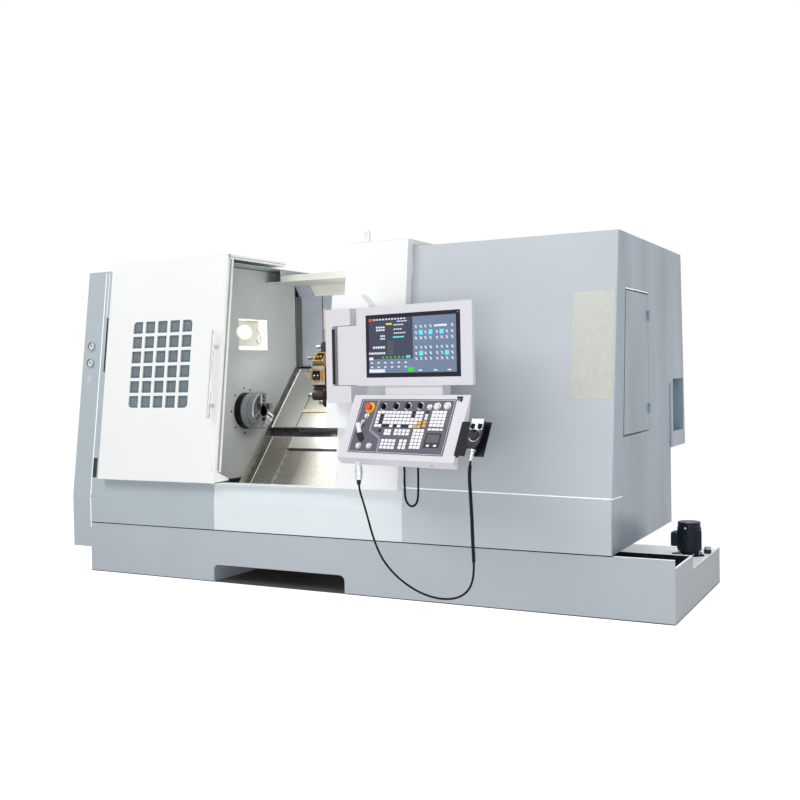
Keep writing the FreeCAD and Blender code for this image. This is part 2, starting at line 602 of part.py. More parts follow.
def turning_holder():
    """Low square clamping frame with a tool shank whose tip reaches out to the left."""
    base, half = DISC_FLATS, FRAME_SIZE / 2
    middle = (DISC_X0 + DISC_X1) / 2
    top = base + FRAME_HEIGHT
    frame = block(middle - half, middle + half, TURRET_U - half, TURRET_U + half, base, top)
    inner = half - FRAME_RIM
    recess = block(middle - inner, middle + inner, TURRET_U - inner, TURRET_U + inner,
                   top - FRAME_RIM, top + 1)
    frame = cut(frame, [recess])
    shank = block(TIP_X + 12, middle + half - 10, TURRET_U - SHANK / 2, TURRET_U + SHANK / 2,
                  top - SHANK, top)
    nose = [(TIP_X, TURRET_U + SHANK / 2 + 4), (TIP_X + 14, TURRET_U - SHANK / 2),
            (TIP_X + 26, TURRET_U - SHANK / 2), (TIP_X + 26, TURRET_U + SHANK / 2)]
    tip = prism(nose, SHANK - 2, "xy", top - SHANK + 1)
    return fuse([frame, shank, tip])


def boring_holder():
    """Round sleeve on a square foot, holding a boring bar that points at the chuck."""
    base, half = DISC_FLATS, FRAME_SIZE / 2
    middle = (DISC_X0 + DISC_X1) / 2
    foot = block(middle - half, middle + half, TURRET_U - half + 4, TURRET_U + half - 4, base, base + 20)
    cheek = block(middle - half + 6, middle + half - 6, TURRET_U - SLEEVE_RADIUS, TURRET_U + SLEEVE_RADIUS,
                  base + 18, base + BAR_HEIGHT)
    sleeve = rod((middle - half - 4, TURRET_U, base + BAR_HEIGHT), (1, 0, 0), SLEEVE_RADIUS, FRAME_SIZE + 6)
    bar = rod((TIP_X + 8, TURRET_U, base + BAR_HEIGHT), (1, 0, 0), BAR_RADIUS, 60)
    return fuse([foot, cheek, sleeve, bar])


def tool_holders():
    """A holder on every station of the disc, in pairs of turning and boring tools."""
    holders = []
    for i in range(STATIONS):
        holder = turning_holder() if i % 4 < 2 else boring_holder()
        holder.rotate(V(0, TURRET_U, 0), V(1, 0, 0), 360.0 * i / STATIONS)
        holders.append(sloped(holder))
    return Part.Compound(holders)


def tailstock_body():
    """Tailstock on the ways with the bored barrel on the spindle line."""
    top = WAY_N + TAIL_BASE_HEIGHT
    r = TAIL_BARREL
    base = block(TAIL_X0, TAIL_X1, SADDLE_U0, SADDLE_U1, way_gap(), top)
    web = prism([(WAYS_U[0][0] + 30, top - 8), (WAYS_U[1][0] - 10, top - 8), (3.6 * r, top + 112),
                 (1.3 * r, 0.44 * r), (0.33 * r, 0.87 * r), (-0.33 * r, -0.76 * r), (0.65 * r, -1.3 * r)],
                TAIL_X1 - TAIL_X0 - 40, at=TAIL_X0 + 20)
    barrel = rod((TAIL_X0 - 20, 0, 0), (1, 0, 0), TAIL_BARREL, TAIL_X1 - TAIL_X0 + 20)
    bore = rod((TAIL_X0 - 21, 0, 0), (1, 0, 0), QUILL_RADIUS + RUN_FIT, TAIL_X1 - TAIL_X0 - 20)
    return sloped(cut(fuse([base, web, barrel]), [bore]))


def tailstock_quill():
    """Quill with its live centre."""
    r = QUILL_RADIUS
    x0 = QUILL_X0
    points = [(CENTRE_X0, 0), (x0 - 22, CENTRE_RADIUS), (x0 - 22, 34), (x0, 34), (x0, r - 3), (x0 + 3, r),
              (TAIL_X1 - 60, r), (TAIL_X1 - 60, 0)]
    return turned(points, (0, 0, AXIS_Z), (1, 0, 0))


def bed_covers():
    """Fixed way cover beside the headstock, gutter and the brushed chute down to the trough."""
    t = COVER_SHEET
    x0 = WALL_GAP
    x1 = SADDLE_X0 - COVER_FOOT - SADDLE_LEFT - 3
    cover_top = COVER_N - t - COVER_STEP
    floor = CHUTE_N - GUTTER_DEPTH
    hem_u = COVER_U0 + 4
    upper = block(x0, x1, hem_u, COVER_U1, cover_top - t, cover_top)
    hem = block(x0, x1, hem_u, hem_u + t, floor - t, cover_top)
    path = [(hem_u + t, floor), (CHUTE_U1, floor), (CHUTE_U1, CHUTE_N), (CHUTE_U0, CHUTE_N)]
    lower = prism(folded(path, t), APRON_X1 - 0.5 - x0, at=x0)
    flange_up = block(x0, x0 + 3, hem_u + 4, COVER_U1 - 60, cover_top, cover_top + FLANGE_HEIGHT)
    flange_low = block(x0, x0 + 3, CHUTE_U0 + 30, CHUTE_U1 - 6, CHUTE_N, CHUTE_N + FLANGE_HEIGHT)
    ribs = [block(x, x + 10, CHUTE_U0 + 90, CHUTE_U1 - 30, BED_N, CHUTE_N - t)
            for x in (x0 + 60, APRON_X1 / 2 - 20, APRON_X1 - 40)]
    post = block(6, 16, hem_u + 6, COVER_U1 - 100, BED_N, cover_top - t)
    slot = block(SLOT_X0, APRON_X1 - 40, SLOT_U0, SLOT_U1, CHUTE_N - t - 1, CHUTE_N + 1)
    covers = cut(fuse([upper, hem, lower, flange_up, flange_low, post]), [slot])
    return sloped(fuse([covers] + ribs))


# ---------------------------------------------------------------- enclosure
def front_sheet(x0, x1, top, roof_y):
    """Bent front sheet from the base up to a height, with its top turned back to roof_y."""
    z0 = FRONT_TOP + JOINT_LINE
    path = [(front_y(z0), z0), (front_y(CREASE_Z), CREASE_Z), (front_y(top), top), (roof_y, top)]
    return prism(folded(path[::-1], SHEET), x1 - x0, at=x0)


def door_rail(x0, x1):
    """Ledge in front of the sill on which the door's lower edge glides."""
    z1 = DOOR_Z0 - RAIL_FIT
    z0 = z1 - RAIL_THICK
    return block(x0, x1, front_y(z0) - RAIL_DEPTH, front_y(z0) + SHEET, z0, z1)


def headstock_cover():
    """Grey front cover of the headstock with the slit and the latch recess beside the door."""
    sheet = front_sheet(BASE_X0, OPENING_X0, ROOF_Z - 3, REAR_TOP_Y)
    slit = behind_front(SLIT_X0, SLIT_X1, SLIT_Z0, SLIT_Z1, 1, SHEET + 2)
    jamb = behind_front(OPENING_X0 - SHEET, OPENING_X0, APRON_TOP + 6, ROOF_Z - 8, -SHEET, 34)
    latch_back = behind_front(LATCH_X0 - 3, LATCH_X1 + 4, LATCH_Z0 - 8, LATCH_Z1 + 6, -SHEET, 14)
    latch_pocket = behind_front(LATCH_X0, LATCH_X1, LATCH_Z0, LATCH_Z1, 1, SHEET + 12)
    rail = door_rail(DOOR_X0, OPENING_X0)
    sheet = fuse([sheet, jamb, latch_back, rail])
    return cut(sheet, [slit, latch_pocket])


def left_end_cover():
    """Box cover over the spindle's rear end, open to the machine, with two gauge cases."""
    top = ROOF_Z - 3.4
    points = [(front_y(COLUMN_Z0), COLUMN_Z0), (front_y(CREASE_Z), CREASE_Z), (front_y(top), top),
              (REAR_Y, top), (REAR_Y, COLUMN_Z0)]
    width = BASE_X0 - COLUMN_X0
    outer = prism(points, width, at=COLUMN_X0)
    t = SHEET
    inner_points = [(front_y(COLUMN_Z0) + t, COLUMN_Z0 - 1), (front_y(CREASE_Z) + t, CREASE_Z),
                    (front_y(top) + t, top - t), (REAR_Y - t, top - t), (REAR_Y - t, COLUMN_Z0 - 1)]
    inner = prism(inner_points, width, at=COLUMN_X0 + t)
    shell = cut(outer, [inner])
    cases = []
    rooms = []
    for z in GAUGES_Z:
        case, room = gauge_case(z)
        cases.append(case)
        rooms.append(room)
    bar_hole = rod((COLUMN_X0 - 1, 0, AXIS_Z), (1, 0, 0), BAR_HOLE_RADIUS, t + 2)
    return cut(fuse([shell] + cases), rooms + [bar_hole])


def lean_frame(shape, x, z, proud=0.0):
    """Shape drawn with its face outward along +Z, put on the leaning front at (x, z)."""
    lean = math.degrees(math.atan(LEAN))
    shape.rotate(V(0, 0, 0), V(1, 0, 0), 90 - lean)
    shape.translate(V(x, front_y(z, proud), z))
    return shape


def gauge_case(z):
    """Round gauge case and the shallow room in it for the needle."""
    case = rod((0, 0, -6), (0, 0, 1), GAUGE_RADIUS, GAUGE_DEPTH + 6)
    room = rod((0, 0, GAUGE_DEPTH - 6), (0, 0, 1), GAUGE_RADIUS - 4, 10)
    pin = rod((0, 0, GAUGE_DEPTH - 8), (0, 0, 1), 2, 5)
    return lean_frame(case, GAUGE_X, z), lean_frame(room.cut(pin), GAUGE_X, z)


def gauge_needle(z):
    """Needle turning on the gauge's pin."""
    base = GAUGE_DEPTH - 6 + 0.4
    blade = block(-1, 1, -7, 21, base, base + 1.2)
    hub = rod((0, 0, base), (0, 0, 1), 5, 1.6)
    hole = rod((0, 0, base - 1), (0, 0, 1), 2 + RUN_FIT, 5)
    needle = cut(fuse([blade, hub]), [hole])
    needle.rotate(V(0, 0, 0), V(0, 0, 1), 35)
    return lean_frame(needle, GAUGE_X, z)


def apron_panel():
    """Pale panel below the doorway, bent like the cabinet, with a sill turned inward."""
    path = [(front_y(FRONT_TOP + JOINT_LINE), FRONT_TOP + JOINT_LINE), (front_y(CREASE_Z), CREASE_Z),
            (front_y(APRON_TOP), APRON_TOP), (front_y(APRON_TOP) + 64, APRON_TOP),
            (front_y(APRON_TOP) + 64, APRON_TOP - 30)]
    sheet = prism(folded(path[::-1], SHEET), APRON_X1 - OPENING_X0, at=OPENING_X0)
    return fuse([sheet, door_rail(OPENING_X0, SIDE_PANEL_X0)])


def door_shape(x0, x1):
    """Leaning slab with its top turned back over the work area, hollow from behind."""
    z0, z1 = DOOR_Z0, DOOR_Z1
    depth = DOOR_PROUD - DOOR_GAP
    inner_z = z1 - DOOR_ROOF
    points = [(front_y(z0, DOOR_PROUD), z0), (front_y(z1, DOOR_PROUD), z1), (ROOF_FRONT_Y, z1),
              (ROOF_FRONT_Y, inner_z), (front_y(inner_z, DOOR_GAP), inner_z), (front_y(z0, DOOR_GAP), z0)]
    outer = prism(points, x1 - x0, at=x0, radius=[3, 10, 3, 0, 0, 0])
    s = DOOR_SKIN
    room = behind_front(x0 + s, x1 - s, z0 + s, inner_z - 8, DOOR_PROUD - s, depth)
    roof_room = block(x0 + s, x1 - s, front_y(z1) - 20, ROOF_FRONT_Y - s, inner_z - 1, z1 - s)
    return cut(outer, [room, roof_room])


def door_panel():
    """Sliding door with the window's opening, the frame behind it and the plate at its foot."""
    shell = door_shape(DOOR_X0, DOOR_X1)
    border = 26
    frame = behind_front(WINDOW_X0 - border, WINDOW_X1 + border, WINDOW_Z0 - border, WINDOW_Z1 + border,
                         DOOR_PROUD - DOOR_SKIN, 18)
    y = front_y(DOOR_Z0) - 20
    gusset = prism([(y, DOOR_Z0 + 3), (GUSSET_Y, DOOR_Z0 + 3), (GUSSET_Y + 10, DOOR_Z0 + 28),
                    (y, DOOR_Z0 + GUSSET_HEIGHT)], DOOR_X1 - HANDLE_X - 8, at=HANDLE_X + 8)
    shell = fuse([shell, frame, gusset])
    seat = behind_front(WINDOW_X0 - 12, WINDOW_X1 + 12, WINDOW_Z0 - 12, WINDOW_Z1 + 12, DOOR_PROUD - 9, 30)
    return cut(shell, [seat] + panes())


def panes():
    """Square openings of the window lattice; the outer corners of the field are rounded."""
    width = (WINDOW_X1 - WINDOW_X0 - (PANE_COLUMNS - 1) * PANE_BAR_X) / PANE_COLUMNS
    height = (WINDOW_Z1 - WINDOW_Z0 - (PANE_ROWS - 1) * PANE_BAR_Z) / PANE_ROWS
    cuts = []
    for i in range(PANE_COLUMNS):
        for j in range(PANE_ROWS):
            x = WINDOW_X0 + i * (width + PANE_BAR_X)
            z = WINDOW_Z0 + j * (height + PANE_BAR_Z)
            corners = [(x, z), (x + width, z), (x + width, z + height), (x, z + height)]
            outer = [(0, 0), (PANE_COLUMNS - 1, 0), (PANE_COLUMNS - 1, PANE_ROWS - 1), (0, PANE_ROWS - 1)]
            radii = [26 if (i, j) == spot else 0 for spot in outer]
            cuts.append(prism(corners, 400, "xz", front_y(z, DOOR_PROUD) - 100, radii))
    return cuts


def door_window():
    """Safety glass behind the lattice."""
    return behind_front(WINDOW_X0 - 12, WINDOW_X1 + 12, WINDOW_Z0 - 12, WINDOW_Z1 + 12, DOOR_PROUD - 9, 7)


def door_handle():
    """Upright pull bar on two posts."""
    lean = math.degrees(math.atan(LEAN))
    length = (HANDLE_Z1 - HANDLE_Z0) / math.cos(math.radians(lean))
    out = HANDLE_STANDOFF
    bar = rod((0, -length / 2, out), (0, 1, 0), HANDLE_RADIUS, length)
    posts = [rod((0, y, 0), (0, 0, 1), POST_RADIUS, out) for y in (-length / 2 + 82, length / 2 - 100)]
    feet = [rod((0, y, 0), (0, 0, 1), POST_RADIUS + 6, 4) for y in (-length / 2 + 82, length / 2 - 100)]
    middle = (HANDLE_Z0 + HANDLE_Z1) / 2
    return lean_frame(fuse([bar] + posts + feet), HANDLE_X, middle, DOOR_PROUD)


def right_front_panel():
    """Fixed white panel right of the doorway with the arm housing and the lifting eye."""
    shell = door_shape(SIDE_PANEL_X0, APRON_X1)
    proud = DOOR_PROUD + HOUSING_DEPTH
    points = [(HOUSING_X0, HOUSING_Z0), (HOUSING_X1, HOUSING_Z0), (HOUSING_X1, HOUSING_Z1 - 68),
              (HOUSING_X1 - 60, HOUSING_Z1), (HOUSING_X0, HOUSING_Z1)]
    column = prism(points, 400, "xz", front_y(HOUSING_Z0) - 200, [6, 6, 30, 30, 8])
    slab = behind_front(HOUSING_X0 - 10, HOUSING_X1 + 10, HOUSING_Z0 - 10, HOUSING_Z1 + 10, proud,
                        HOUSING_DEPTH + DOOR_SKIN)
    clear = behind_front(HOUSING_X0 - 10, SIDE_PANEL_X0, HOUSING_Z0 - 20, HOUSING_Z1 + 20,
                         DOOR_PROUD + 6, 60)
    housing = cut(column.common(slab), [clear])
    x, y, half = EYE_X, front_y(DOOR_Z1), EYE_WIDTH / 2
    top = DOOR_Z1 + EYE_HEIGHT
    foot = block(x - half - 7, x + half + 7, y - 30, y + 30, DOOR_Z1, DOOR_Z1 + 8)
    plate = prism([(x - half, DOOR_Z1), (x + half, DOOR_Z1), (x + half, top), (x - half, top)], 12,
                  "xz", y - 6, [0, 0, half - 2, half - 2])
    eye = rod((x, y - 10, top - 24), (0, 1, 0), half / 2, 20)
    stile = behind_front(APRON_X1 - 34, APRON_X1 - DOOR_SKIN, APRON_TOP, ROOF_Z - 10, DOOR_GAP + 1,
                         DOOR_GAP + 1 + SHEET)
    return cut(fuse([shell, housing, foot, plate, stile]), [eye])


def arm_bracket():
    """C-shaped arm on the housing with the upright pivot pin across its mouth."""
    depth = 330
    reach = 500
    spine = block(BRACKET_X0, BRACKET_X0 + SPINE_WIDTH, 0, depth, BRACKET_Z0, BRACKET_Z1)
    top = block(BRACKET_X0, BRACKET_X1, 0, depth, BRACKET_MOUTH_Z1, BRACKET_Z1)
    bottom = block(BRACKET_X0, BRACKET_X1, 0, depth, BRACKET_Z0, BRACKET_MOUTH_Z0)
    pin = rod((PIVOT_X, PIVOT_Y, BRACKET_Z0 + 10), (0, 0, 1), PIN_RADIUS, BRACKET_Z1 - BRACKET_Z0 - 20)
    arm = on_pendant(fuse([spine, top, bottom, pin]))
    beyond = behind_front(HOUSING_X0 - reach, HOUSING_X1 + reach, BRACKET_Z0 - reach, BRACKET_Z1 + reach,
                          DOOR_PROUD + HOUSING_DEPTH, 2 * reach)
    return cut(arm, [beyond])


def cabinet_cover():
    """Grey cabinet right of the doorway: bent front and flat roof."""
    return front_sheet(APRON_X1, CABINET_X1 - SHEET, ROOF_Z, REAR_TOP_Y)


def end_panel():
    """Right end of the cabinet with the access doorway and the rear pocket."""
    t = SHEET
    z0 = FRONT_TOP + JOINT_LINE
    points = [(front_y(z0), z0), (front_y(CREASE_Z), CREASE_Z), (front_y(ROOF_Z), ROOF_Z),
              (REAR_TOP_Y, ROOF_Z), (REAR_LOW_Y, REAR_STEP_Z), (REAR_Y, REAR_STEP_Z), (REAR_Y, z0)]
    plate = prism(points, t, at=CABINET_X1 - t)
    box = block(CABINET_X1 - POCKET_DEPTH - 3, CABINET_X1 - t, POCKET_Y0 - 3, POCKET_Y1 + 3,
                POCKET_Z0 - 3, POCKET_Z1 + 3)
    pocket = block(CABINET_X1 - POCKET_DEPTH, CABINET_X1 + 1, POCKET_Y0, POCKET_Y1, POCKET_Z0, POCKET_Z1)
    flange = block(CABINET_X1, CABINET_X1 + 6, REAR_Y - 6, REAR_Y + 20, REAR_STEP_Z + 3, REAR_STEP_Z + 400)
    doorway = prism(side_door_corners(SIDE_DOOR_GAP), t + 2, at=CABINET_X1 - t - 1)
    shell = cut(fuse([plate, box, flange]), [pocket, doorway])
    x, y = CABINET_X1 + HINGE_OUT, SIDE_DOOR_Y + SIDE_DOOR_GAP / 2
    hinges = [hinge_leaf(z + HINGE_LENGTH / 2 + 0.3, z + HINGE_LENGTH, 1, False) for z in HINGES_Z]
    pins = [rod((x, y, z), (0, 0, 1), HINGE_PIN, HINGE_LENGTH) for z in HINGES_Z]
    return fuse([shell] + hinges + pins)


def hinge_leaf(z0, z1, side, bored):
    """Half hinge on the right end: a leaf on one side of the pin axis and its knuckle."""
    x, y = CABINET_X1 + HINGE_OUT, SIDE_DOOR_Y + SIDE_DOOR_GAP / 2
    edge = y + side * HINGE_LEAF_WIDTH
    leaf = block(CABINET_X1, CABINET_X1 + HINGE_LEAF, min(y, edge), max(y, edge), z0, z1)
    half = fuse([leaf, rod((x, y, z0), (0, 0, 1), HINGE_RADIUS, z1 - z0)])
    if bored:
        half = half.cut(rod((x, y, z0 - 1), (0, 0, 1), HINGE_PIN + RUN_FIT, z1 - z0 + 2))
    return half


def side_door_corners(grow=0.0):
    """Corners of the access door in (y, z); its front edge leans like the machine's front."""
    g = grow
    return [(SIDE_DOOR_FRONT_LOW - g, SIDE_DOOR_Z0 - g), (SIDE_DOOR_Y + g, SIDE_DOOR_Z0 - g),
            (SIDE_DOOR_Y + g, SIDE_DOOR_Z1 + g), (SIDE_DOOR_FRONT_HIGH - g, SIDE_DOOR_Z1 + g)]


def access_door():
    """Flush hinged door on the right end with its two hinge barrels."""
    slab = prism(side_door_corners(), SIDE_DOOR_THICK, at=CABINET_X1 - SIDE_DOOR_THICK, radius=4)
    room = prism(side_door_corners(-3), SIDE_DOOR_THICK, at=CABINET_X1 - SIDE_DOOR_THICK - 3)
    hinges = [hinge_leaf(z, z + HINGE_LENGTH / 2, -1, True) for z in HINGES_Z]
    return fuse([cut(slab, [room])] + hinges)


def rear_cover():
    """Rear wall with the overhanging electrical cabinet."""
    t = SHEET
    z0 = FRONT_TOP + JOINT_LINE
    top = ROOF_Z - t - 4
    path = [(REAR_Y, z0), (REAR_Y, REAR_STEP_Z), (REAR_LOW_Y, REAR_STEP_Z), (REAR_TOP_Y, top)]
    wall = prism(folded(path, t), CABINET_X1 - t - BASE_X0, at=BASE_X0)
    end = prism([(REAR_Y, REAR_STEP_Z), (REAR_LOW_Y, REAR_STEP_Z), (REAR_TOP_Y, top), (REAR_Y, top)],
                t, at=BASE_X0)
    return fuse([wall, end])


def rear_inner_y(z):
    """Y of the electrical cabinet's rear wall on its inner side."""
    slope = (REAR_LOW_Y - REAR_TOP_Y) / (ROOF_Z - SHEET - 4 - REAR_STEP_Z)
    return REAR_TOP_Y + (ROOF_Z - SHEET - 4 - z) * slope - SHEET * math.hypot(1, slope)


def roof_cover():
    """Roof behind the doorway: folded beam in front, flat top running back to the rear wall."""
    t = 3.0
    x0 = OPENING_X0 - 1
    path = [(BACK_Y, BACK_Z1 - ROOF_HEM), (BACK_Y, BACK_Z1), (BACK_Y - BACK_FOLD, BEAM_Z0),
            (ROOF_FRONT_Y, BEAM_Z0), (ROOF_FRONT_Y, BEAM_Z1),
            (rear_inner_y(BEAM_Z1) - SEAT_GAP, BEAM_Z1)]
    return prism(folded(path[::-1], t), APRON_X1 - 0.2 - x0, at=x0)


def back_wall():
    """Blue-grey rear wall of the work area."""
    return block(6, APRON_X1 - 0.4, BACK_Y, BACK_Y + 3, BACK_Z0, BACK_Z1 - ROOF_HEM)


def headstock_wall():
    """Splash wall round the spindle nose, cut to the slope, with the lamp's opening and its screws."""
    t = WALL_THICK
    top = ROOF_Z - 12
    low = on_slope(WALL_LOW_Y, CHUTE_N + 1)
    high = on_slope(WALL_REAR_Y, COVER_N - 4)
    points = [(front_y(low[1], -SHEET - 1), low[1]), low, high, (WALL_REAR_Y, top),
              (front_y(top, -SHEET - 1), top)]
    wall = prism(points, t, at=-t)
    spindle_hole = rod((-t - 1, 0, AXIS_Z), (1, 0, 0), NOSE_RADIUS + 1.5, t + 2)
    lamp = block(-t - 1, 1, LAMP_Y0, LAMP_Y1, LAMP_Z0, LAMP_Z1)
    heads = []
    for angle in WALL_SCREWS_AT:
        y = WALL_SCREW_CIRCLE * math.cos(math.radians(angle))
        z = AXIS_Z + WALL_SCREW_CIRCLE * math.sin(math.radians(angle))
        heads.append(rod((0, y, z), (1, 0, 0), 7, 3))
    return fuse([cut(wall, [spindle_hole, lamp])] + heads)


def work_lamp():
    """Lamp box set into the headstock wall with its tube."""
    t = 3.0
    box = block(-10 - LAMP_DEPTH, -10, LAMP_Y0 - t, LAMP_Y1 + t, LAMP_Z0 - t, LAMP_Z1 + t)
    room = block(-10 - LAMP_DEPTH + t, 0, LAMP_Y0, LAMP_Y1, LAMP_Z0, LAMP_Z1)
    tube = rod((-34, LAMP_Y0 + 28, LAMP_Z0 - 1), (0, 0, 1), 16, LAMP_Z1 - LAMP_Z0 + 2)
    return fuse([cut(box, [room]), tube])


# ---------------------------------------------------------------- pendant
def monitor_case():
    """Flat bezel, deep rear housing, pivot block with the knuckle, and the neck down to the control box."""
    x1 = PANEL_WIDTH
    inset = REAR_INSET
    bezel = prism([(0, MONITOR_Z0), (x1, MONITOR_Z0), (x1, MONITOR_Z1), (0, MONITOR_Z1)],
                  BEZEL_DEPTH, "xz", 0, 4)
    rear = block(0, x1 - REAR_INSET_RIGHT, BEZEL_DEPTH - 1, MONITOR_DEPTH,
                 MONITOR_Z0 + inset, MONITOR_Z1 - inset)
    pocket = block(SCREEN_X0, SCREEN_X1, -1, 8, SCREEN_Z0, SCREEN_Z1)
    arm = block(PIVOT_X, 4, 0, 2 * KNUCKLE_RADIUS, KNUCKLE_Z0, KNUCKLE_Z1)
    knuckle = rod((PIVOT_X, PIVOT_Y, KNUCKLE_Z0), (0, 0, 1), KNUCKLE_RADIUS, KNUCKLE_Z1 - KNUCKLE_Z0)
    bore = rod((PIVOT_X, PIVOT_Y, KNUCKLE_Z0 - 1), (0, 0, 1), PIN_RADIUS + 2 * RUN_FIT,
               KNUCKLE_Z1 - KNUCKLE_Z0 + 2)
    neck = block(NECK_X0, NECK_X1, NECK_Y0, NECK_Y1, FACE_Z, MONITOR_Z0 + inset)
    return on_pendant(cut(fuse([bezel, rear, arm, knuckle, neck]), [pocket, bore]))


def monitor_screen():
    """Display with its dark frame."""
    return on_pendant(block(SCREEN_X0, SCREEN_X1, 0, 8, SCREEN_Z0, SCREEN_Z1))


def box_profile():
    """Panel section in (y, z): sloping face, chamfered foot and a back that follows the face."""
    tilt = math.radians(FACE_TILT)
    foot_y = FACE_Y - FACE_LENGTH * math.sin(tilt)
    foot_z = FACE_Z - FACE_LENGTH * math.cos(tilt)
    taper_y = FACE_Y - (FACE_Z - BOX_TAPER_Z) * math.tan(tilt) + BOX_DEPTH
    return [(FACE_Y, FACE_Z), (FACE_Y + BOX_RIM, FACE_Z), (taper_y, BOX_TAPER_Z),
            (foot_y + BOX_DEPTH, foot_z), (foot_y + BOX_FOOT, BOX_BOTTOM), (foot_y, foot_z)]


def stem_holes(depth):
    """Bores through the operating face for every control's stem."""
    spots = [ESTOP_AT, KEY_AT] + list(KNOBS_AT) + [b[:2] for b in BUTTONS_AT]
    return [rod((s, -t, -depth), (0, 0, 1), STEM_RADIUS + RUN_FIT, depth + 5) for s, t in spots]


def control_box():
    """Thin sloping panel, the housing on its back and the connector of the handset's cable below."""
    panel = prism(box_profile(), PANEL_WIDTH, radius=[2, 2, 0, 0, 3, 4])
    tilt = math.radians(FACE_TILT)
    case_y0 = FACE_Y + BOX_RIM
    drop = (FACE_Z - CASE_Z0) * math.tan(tilt)
    case = prism([(case_y0, FACE_Z), (NECK_Y1, FACE_Z), (NECK_Y1, CASE_Z0), (case_y0 - drop, CASE_Z0)],
                 CASE_X1 - CASE_X0, at=CASE_X0, radius=[0, 6, 6, 0])
    x, y, z = CABLE_START
    plug = rod((x, y, z), (0, 0, 1), PLUG_RADIUS, BOX_BOTTOM + 24 - z)
    nut = rod((x, y, z + 26), (0, 0, 1), PLUG_RADIUS + 3, 26)
    body = on_pendant(fuse([panel, case, plug, nut]))
    holes = [on_face(hole) for hole in stem_holes(STEM_DEPTH + STEM_AIR)]
    return cut(body, holes)


def key_block(s0, t0, columns, rows, pitch_s, pitch_t, size_s, size_t):
    """Rectangular field of keys on the keypad."""
    keys = []
    for i in range(columns):
        for j in range(rows):
            s, t = s0 + i * pitch_s, t0 + j * pitch_t
            keys.append(block(s, s + size_s, -t - size_t, -t, OVERLAY - 0.2, OVERLAY + KEY_HEIGHT))
    return keys


def keypad():
    """Operating overlay with its fields of keys."""
    s0, s1, t0, t1 = OVERLAY_S0, OVERLAY_S1, OVERLAY_T0, OVERLAY_T1
    sheet = prism([(s0, -t0), (s1, -t0), (s1, -t1), (s0, -t1)], OVERLAY, "xy", 0, 6)
    keys = key_block(206.0, 93.0, 12, 5, 26.6, 19.0, 22.0, 14.0)
    keys += key_block(578.0, 89.0, 4, 5, 24.2, 18.0, 20.0, 14.0)
    keys += key_block(284.0, 251.0, 4, 3, 26.0, 19.0, 20.0, 14.0)
    keys += key_block(357.0, 194.0, 4, 2, 27.3, 18.0, 20.0, 14.0)
    keys += key_block(484.0, 191.0, 3, 6, 25.0, 18.3, 20.0, 14.0)
    holes = stem_holes(OVERLAY + 5)
    return on_face(cut(fuse([sheet] + keys), holes))


def face_control(s, t, body):
    """Control drawn at the origin with its stem, put at (s, t) on the operating face."""
    stem = rod((0, 0, -STEM_DEPTH), (0, 0, 1), STEM_RADIUS, STEM_DEPTH + OVERLAY + 4)
    shape = fuse([body, stem])
    shape.translate(V(s, -t, 0))
    return on_face(shape)


def e_stop():
    """Mushroom head of the emergency stop."""
    z = OVERLAY + 8
    profile = [(z, 0), (z, 10), (z + 6, 10), (z + 9, 19), (z + 16, 20), (z + 20, 15), (z + 21, 0)]
    head = turned(profile, (0, 0, 0), (0, 0, 1))
    neck = rod((0, 0, OVERLAY + 2), (0, 0, 1), STEM_RADIUS, 10)
    return face_control(*ESTOP_AT, fuse([head, neck]))


def override_knob(index):
    """Black selector knob with a pointer ridge."""
    z = OVERLAY + 0.6
    skirt = rod((0, 0, z), (0, 0, 1), KNOB_RADIUS, 4)
    grip = prism([(-4, -KNOB_RADIUS + 1), (4, -KNOB_RADIUS + 1), (7, 0), (4, KNOB_RADIUS - 1),
                  (-4, KNOB_RADIUS - 1), (-7, 0)], KNOB_HEIGHT - 4, "xy", z + 4)
    return face_control(*KNOBS_AT[index], fuse([skirt, grip]))


def push_button(index):
    """Pale push button."""
    s, t, radius = BUTTONS_AT[index]
    z = OVERLAY + BUTTON_TRAVEL + 1
    cap = turned([(z, 0), (z, radius), (z + BUTTON_HEIGHT - 1, radius), (z + BUTTON_HEIGHT, radius - 1.5),
                  (z + BUTTON_HEIGHT, 0)], (0, 0, 0), (0, 0, 1))
    return face_control(s, t, cap)


def key_switch():
    """Key in its barrel with a short lever."""
    z = OVERLAY + 0.6
    collar = rod((0, 0, z), (0, 0, 1), 13, 6)
    lever = prism([(-4, -30), (4, -30), (6, 4), (-6, 4)], 8, "xy", z + 6, [3, 3, 3, 3])
    return face_control(*KEY_AT, fuse([collar, lever]))


def mpg_shelf():
    """Black plate beside the control box that holds the handset."""
    z0 = PLATE_OFF
    s0, s1 = PANEL_WIDTH, PANEL_WIDTH + PLATE_SIZE
    t0, t1 = PLATE_T0, PLATE_T0 + PLATE_SIZE
    plate = prism([(s0, -t0), (s1, -t0), (s1, -t1), (s0, -t1)], PLATE_THICK, "xy", z0, [0, 4, 4, 0])
    slot = prism([(SLOT_S0, -t1 + 40), (SLOT_S1, -t1 + 40), (SLOT_S1, -t1 - 5), (SLOT_S0, -t1 - 5)],
                 20, "xy", z0 - 8, [8, 8, 0, 0])
    flange = block(s0, s0 + PLATE_THICK, -t1, -t0, z0 - PLATE_FLANGE, z0 + PLATE_THICK)
    return on_face(cut(fuse([plate, flange]), [slot]))


